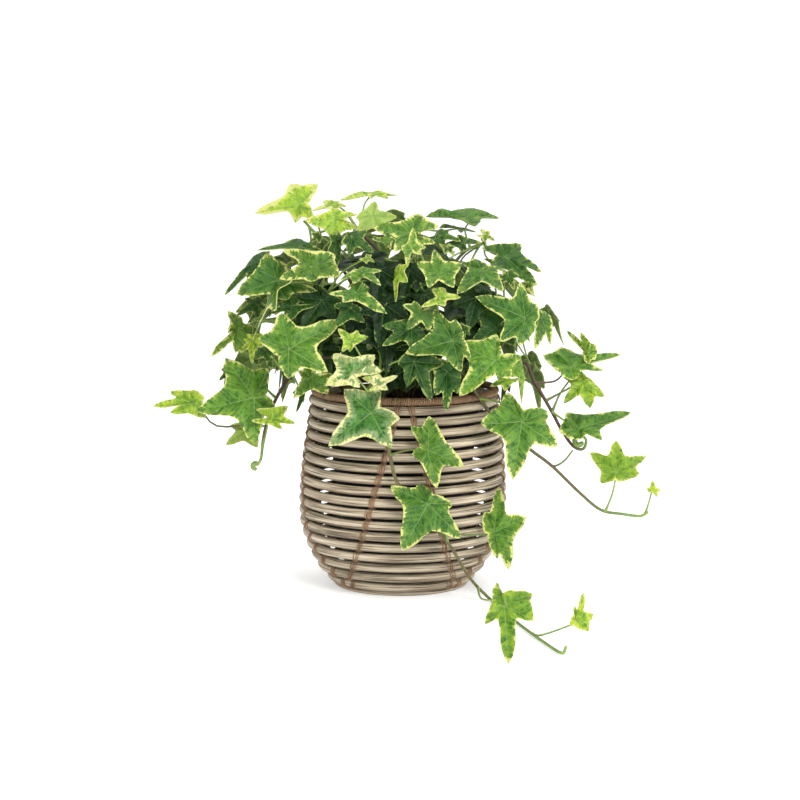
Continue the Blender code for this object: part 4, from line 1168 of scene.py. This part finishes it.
def crown(looks):
    """The bush: its stems from one woody base, the leaves seen and the shaded ones."""
    paths = Paths()
    paths.add(root_start("crown"), (KNUCKLE_RADIUS, KNUCKLE_RADIUS, KNUCKLE_TOP_RADIUS), 0.9)
    nodes = []
    for number, route in enumerate(CROWN_STEMS):
        nodes += add_stem(paths, [CROWN_BASE, *route], 0.55 + 0.4 * (number % 3) / 2)[BARE_STEM_NODES:]
    unseen = strewn_leaves(HIDDEN_EDGE_STEPS, False, **HIDDEN)
    unseen += strewn_leaves(INNER_EDGE_STEPS, True, **INNER)
    return leafy_piece("crown", looks, 4, 7, paths, CROWN_LEAVES + unseen, nodes)


def cane_hoops(finish):
    heights = [hoop_height(number) for number in range(HOOP_COUNT)]
    guide = guide_mesh(
        "cane_hoops", [(basket_axis(h), 0.0, h) for h in heights],
        hoop_radius=[basket_radius(h) - HOOP_ROD / 2 for h in heights],
        rod_seed=[3.7 * number for number in range(HOOP_COUNT)],
    )
    hoops = grown("cane_hoops", guide, hoop_tree(), Finish=finish)
    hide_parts(*[f"hoop_{number + 1:02d}" for number in range(HOOP_COUNT)])
    return hoops


def facing_of(x_axis, y_axis):
    """Euler angles that turn a loop's own X and Y to these directions."""
    x_axis = x_axis.normalized()
    z_axis = x_axis.cross(y_axis).normalized()
    return Matrix((x_axis, z_axis.cross(x_axis), z_axis)).transposed().to_euler()


def rim_cord(rods, wraps, core_finish, wrap_finish):
    """The wrapped cord at the mouth: a cane core under close turns of split cane."""
    height = TOP_HOOP_HEIGHT + (HOOP_ROD + RIM_ROD) / 2 + CLEARANCE
    radius = basket_radius(height) - HOOP_ROD / 2
    centre = Vector((basket_axis(height), 0.0, height))
    core = Paths()
    core.add([centre + at_angle(n / 120, radius) for n in range(120)], RIM_ROD / 2 - 0.0005, closed=True)
    cord = core.rods("rim_core", rods, core_finish, sides=10)
    draw = random.Random(8)
    places, facing, spread, seeds = [], [], [], []
    for turn in range(RIM_WRAPS):
        outward = at_angle(turn / RIM_WRAPS)
        up = Vector((0.0, 0.0, 1.0)) + Vector((-outward.y, outward.x, 0.0)) * draw.uniform(0.12, 0.3)
        places.append(centre + outward * radius)
        facing.append(facing_of(outward, up))
        spread.append([RIM_ROD / 2 - 0.0003 + draw.uniform(-0.00012, 0.0001)] * 3)
        seeds.append(turn * 1.3 % 40.0)
    guide = guide_mesh("rim_wraps", places, facing=facing, spread=spread, rod_seed=seeds)
    turns = grown("rim_wraps", guide, wraps, Steps=10, Half_Width=0.00078, Half_Thickness=0.0003,
                  Finish=wrap_finish)
    for piece in (cord, turns):
        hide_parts("rim_binding")
    return cord, turns


def side_axes(leg, place):
    """Outward, upward and sideways directions of the basket's side where a leg stands."""
    along = rod_middle(max(place - 0.5, 0)) - rod_middle(min(place + 0.5, HOOP_COUNT - 1))
    along /= np.hypot(*along)
    angle = leg_angle(leg, hoop_height(place))
    out = Vector((math.cos(angle), math.sin(angle), 0.0))
    outward = out * along[1] + Vector((0.0, 0.0, -along[0]))
    upward = out * along[0] + Vector((0.0, 0.0, along[1]))
    return outward, upward, Vector((-out.y, out.x, 0.0))


def cane_stakes(rods, finish):
    """The stakes inside the hoops, on the middle lines of their solids."""
    stakes = Paths()
    facet_inset = 1.0 - math.cos(math.pi / 22)
    for leg in range(LEG_COUNT):
        last = HOOP_COUNT - 1
        inset = [
            (HOOP_ROD + RIB_ROD) / 2 + CLEARANCE + facet_inset * rod_middle(place)[0]
            for place in range(HOOP_COUNT)
        ]
        radius = rod_middle(last)[0] - inset[last]
        angle = leg_angle(leg, hoop_height(last))
        route = [
            Vector((basket_axis(h) + radius * math.cos(angle), radius * math.sin(angle), h))
            for h in (BASE_THICKNESS + CLEARANCE, hoop_height(last) + HOOP_ROD / 2)
        ]
        route += [leg_point(leg, place, -inset[place]) for place in RIB_STATIONS]
        stakes.add(route, RIB_ROD / 2)
    made = stakes.rods("stakes", rods, finish, sides=8)
    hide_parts(*[f"rib_{leg + 1}" for leg in range(LEG_COUNT)])
    return made


def hoop_lashings(rods, wraps, finish):
    """Strands of split cane that bind each hoop to its stake, crossed as they pass down."""
    draw = random.Random(31)
    places, facing, spread, seeds = [], [], [], []
    runs = Paths()
    for leg in range(LEG_COUNT):
        lean = -0.3 if leg % 2 else 0.3
        for hoop in range(HOOP_COUNT):
            outward, upward, sideways = side_axes(leg, hoop)
            middle = leg_point(leg, hoop, -0.0013)
            for strand in (-1, 0, 1):
                shift = strand * 0.00138 + draw.uniform(-0.0003, 0.0003)
                slant = upward + sideways * (lean * 0.7 + draw.uniform(-0.14, 0.14) + strand * 0.1)
                places.append(middle + sideways * shift)
                facing.append(facing_of(outward, slant))
                spread.append((0.0049 + draw.uniform(-0.0001, 0.0002), 0.0033, 0.004))
                seeds.append(draw.uniform(0.0, 40.0))
        chain = [leg_point(leg, n / 2, -0.0012 if n % 2 else 0.001) for n in range(2 * HOOP_COUNT - 1)]
        sideways = side_axes(leg, 8)[2]
        for shift in (-0.0008, 0.0007):
            runs.add([p + sideways * shift for p in chain], 0.0006)
    guide = guide_mesh("lashing_wraps", places, facing=facing, spread=spread, rod_seed=seeds)
    turns = grown(
        "lashing_wraps", guide, wraps, Steps=14, Half_Width=0.00085, Half_Thickness=0.00036,
        Finish=finish,
    )
    strands = runs.rods("lashing_strands", rods, finish, sides=6)
    for piece in (turns, strands):
        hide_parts(*[f"lashing_{leg + 1}" for leg in range(LEG_COUNT)])
    return turns, strands


def woven_base(rods, finish):
    """The flat bottom: spokes, and rounds of cane that pass over and under them."""
    weave = Paths()
    middle = Vector((basket_axis(0.0), 0.0, BASE_THICKNESS / 2))
    for spoke in range(BASE_SPOKES):
        out = at_angle(spoke / BASE_SPOKES)
        weave.add([middle + out * r for r in (0.003, 0.025, BASE_RADIUS - 0.0015)], 0.0007)
    steps = BASE_SPOKES * 2
    for turn in range(BASE_ROUNDS):
        radius = 0.0045 + (BASE_RADIUS - 0.0065) * turn / (BASE_ROUNDS - 1)
        line = [
            middle + at_angle(step / steps, radius, 0.00078 * math.cos(math.pi * (step / 2 + turn)))
            for step in range(steps)
        ]
        weave.add(line, 0.0009, closed=True)
    weave.add([middle + at_angle(n / 72, BASE_RADIUS - 0.0017) for n in range(72)], 0.00165, closed=True)
    made = weave.rods("base_weave", rods, finish, sides=6)
    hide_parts("base_disc")
    return made


def nursery_pot(finish):
    """The black pot: a plain wall with a rolled lip and a drained floor."""
    floor = BASE_THICKNESS + 0.0003
    under = LINER_TOP - LINER_LIP_HEIGHT
    outline = (
        (LINER_BOTTOM_RADIUS - 0.0015, floor), (LINER_BOTTOM_RADIUS - 0.0003, floor + 0.0003),
        (LINER_BOTTOM_RADIUS, floor + 0.0014), (LINER_TOP_RADIUS, under - 0.0004),
        (LINER_RIM_RADIUS - 0.0002, under + 0.0004), (LINER_RIM_RADIUS, under + 0.0009),
        (LINER_RIM_RADIUS, LINER_TOP - 0.0005), (LINER_RIM_RADIUS - 0.0004, LINER_TOP),
        (LINER_TOP_RADIUS - LINER_WALL + 0.0004, LINER_TOP),
        (LINER_TOP_RADIUS - LINER_WALL, LINER_TOP - 0.0004),
        (LINER_TOP_RADIUS - LINER_WALL - 0.0004, under),
        (LINER_BOTTOM_RADIUS - LINER_WALL, floor + LINER_WALL),
    )
    made = turned_shell("nursery_pot", outline, 96, finish)
    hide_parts("liner_pot")
    return made


def compost(finish):
    """Loose compost: a lumpy bed inside the pot, strewn with crumbs."""
    floor = BASE_THICKNESS + 0.0016
    slope = (LINER_TOP_RADIUS - LINER_BOTTOM_RADIUS) / (LINER_TOP - LINER_LIP_HEIGHT)
    bottom = LINER_BOTTOM_RADIUS - LINER_WALL - 0.0006
    top = bottom + (SOIL_TOP - 0.003 - floor) * slope
    rings = [(bottom, floor), (top, SOIL_TOP - 0.003)]
    rings += [(top * share, SOIL_TOP - 0.0012 * share) for share in (0.93, 0.8, 0.64, 0.46, 0.28, 0.1)]
    bed = turned_shell("compost_bed", rings, 72, finish)
    draw = random.Random(12)
    for vertex in bed.data.vertices:
        if vertex.co.z > SOIL_TOP - 0.0028:
            vertex.co.z += draw.uniform(-0.0009, 0.0007)
    surface = bpy.data.meshes.new("compost_surface")
    corners = [(v.co.x, v.co.y, v.co.z) for v in bed.data.vertices]
    tops = [tuple(f.vertices) for f in bed.data.polygons if f.normal.z > 0.5]
    surface.from_pydata(corners, [], tops)
    crumbs = grown("compost_crumbs", surface, crumb_tree(), Finish=finish)
    for piece in (bed, crumbs):
        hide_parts("soil")
    return bed, crumbs


def soft_light(name, place, size, power):
    lamp = bpy.data.lights.new(name, "AREA")
    lamp.shape = "DISK"
    lamp.size = size
    lamp.energy = power
    made = linked(bpy.data.objects.new(name, lamp))
    made.location = place
    made.rotation_euler = (Vector((0.0, 0.0, 0.14)) - Vector(place)).to_track_quat("-Z", "Y").to_euler()


def studio():
    """A pale round floor that sweeps up at its far edge, soft lights and the camera."""
    white = (1.0, 1.0, 1.0, 1.0)
    paper = finish_start(
        "pale_floor", 0.85, Base_Color=(0.93, 0.93, 0.93, 1.0), Emission_Color=white, Emission_Strength=0.38
    )[0]
    sweep = [(2.6 + 1.2 * math.sin(a), 1.2 - 1.2 * math.cos(a)) for a in np.radians(np.arange(8, 91, 8))]
    turned_shell("studio_floor", [(1.6, 0.0), (2.6, 0.0), *sweep], 64, paper, closed=False)

    scene = bpy.context.scene
    scene.world = bpy.data.worlds.new("studio_air")
    scene.world.use_nodes = True
    air = scene.world.node_tree.nodes["Background"]
    air.inputs["Color"].default_value = white
    air.inputs["Strength"].default_value = 0.75
    soft_light("key_light", (0.75, -1.75, 1.5), 0.9, 26.0)
    soft_light("fill_light", (1.5, -1.2, 0.6), 1.3, 3.0)
    soft_light("top_light", (0.0, 0.4, 1.9), 1.0, 8.0)

    lens = bpy.data.cameras.new("camera")
    lens.sensor_width = SENSOR
    lens.lens = PIXELS_PER_SLOPE / (2 * FRAME_MIDDLE) * SENSOR
    camera = linked(bpy.data.objects.new("camera", lens))
    camera.location = EYE
    camera.rotation_euler = (math.pi / 2 - EYE_PITCH, 0.0, 0.0)
    scene.camera = camera
    scene.view_settings.view_transform = "Standard"


def dressed(pieces):
    for piece in pieces:
        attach(piece, "root")


studio()
rods = rod_tree()
wraps = wrap_tree()
# The fourth argument of each cane finish (0.82, 0.25, 0.3) is its share of painted shade under the rods.
weathered = cane_finish(
    "weathered_cane", (0.29, 0.185, 0.11), 0.35, 0.82,
    (0.37, (0.085, 0.058, 0.034)), (0.44, (0.22, 0.172, 0.112)), (0.5, (0.43, 0.355, 0.248)),
    (0.57, (0.61, 0.525, 0.385)), (0.66, (0.76, 0.68, 0.52)),
)
tan_cane = cane_finish(
    "tan_split_cane", (0.33, 0.175, 0.09), 0.4, 0.25,
    (0.34, (0.1, 0.052, 0.026)), (0.46, (0.25, 0.15, 0.08)), (0.56, (0.4, 0.265, 0.16)),
    (0.7, (0.52, 0.38, 0.255)),
)
rim_cane = cane_finish(
    "rim_split_cane", (0.3, 0.15, 0.075), 0.4, 0.3,
    (0.34, (0.09, 0.042, 0.02)), (0.46, (0.23, 0.13, 0.068)), (0.56, (0.37, 0.23, 0.13)),
    (0.7, (0.47, 0.33, 0.21)),
)
dressed([cane_hoops(weathered), cane_stakes(rods, weathered)])
dressed(rim_cord(rods, wraps, tan_cane, rim_cane))
dressed([*hoop_lashings(rods, wraps, tan_cane), woven_base(rods, weathered)])
dressed([nursery_pot(plastic_finish())])
dressed(compost(soil_finish()))
looks = (rods, leaf_finish(), stem_finish())
plant = [
    crown(looks),
    leafy_stem("left_trail", LEFT_TRAIL_ROUTE, LEFT_TRAIL_LEAVES, looks, 0.85, 21,
               curl=(-0.0012, -0.001, 0.0024, 0.3)),
    leafy_stem("right_upper_trail", RIGHT_UPPER_ROUTE, RIGHT_UPPER_LEAVES, looks, 0.85, 22,
               curl=(0.0002, -0.006, 0.004, 1.2)),
    leafy_stem("right_lower_trail", RIGHT_LOWER_ROUTE, RIGHT_LOWER_LEAVES, looks, 0.62, 23,
               shoot=RIGHT_LOWER_SHOOT),
    leafy_stem("front_trail", FRONT_TRAIL_ROUTE, FRONT_TRAIL_LEAVES, looks, 0.58, 24),
]
for stems, blades in plant:
    dressed([stems])
    dressed([blades])
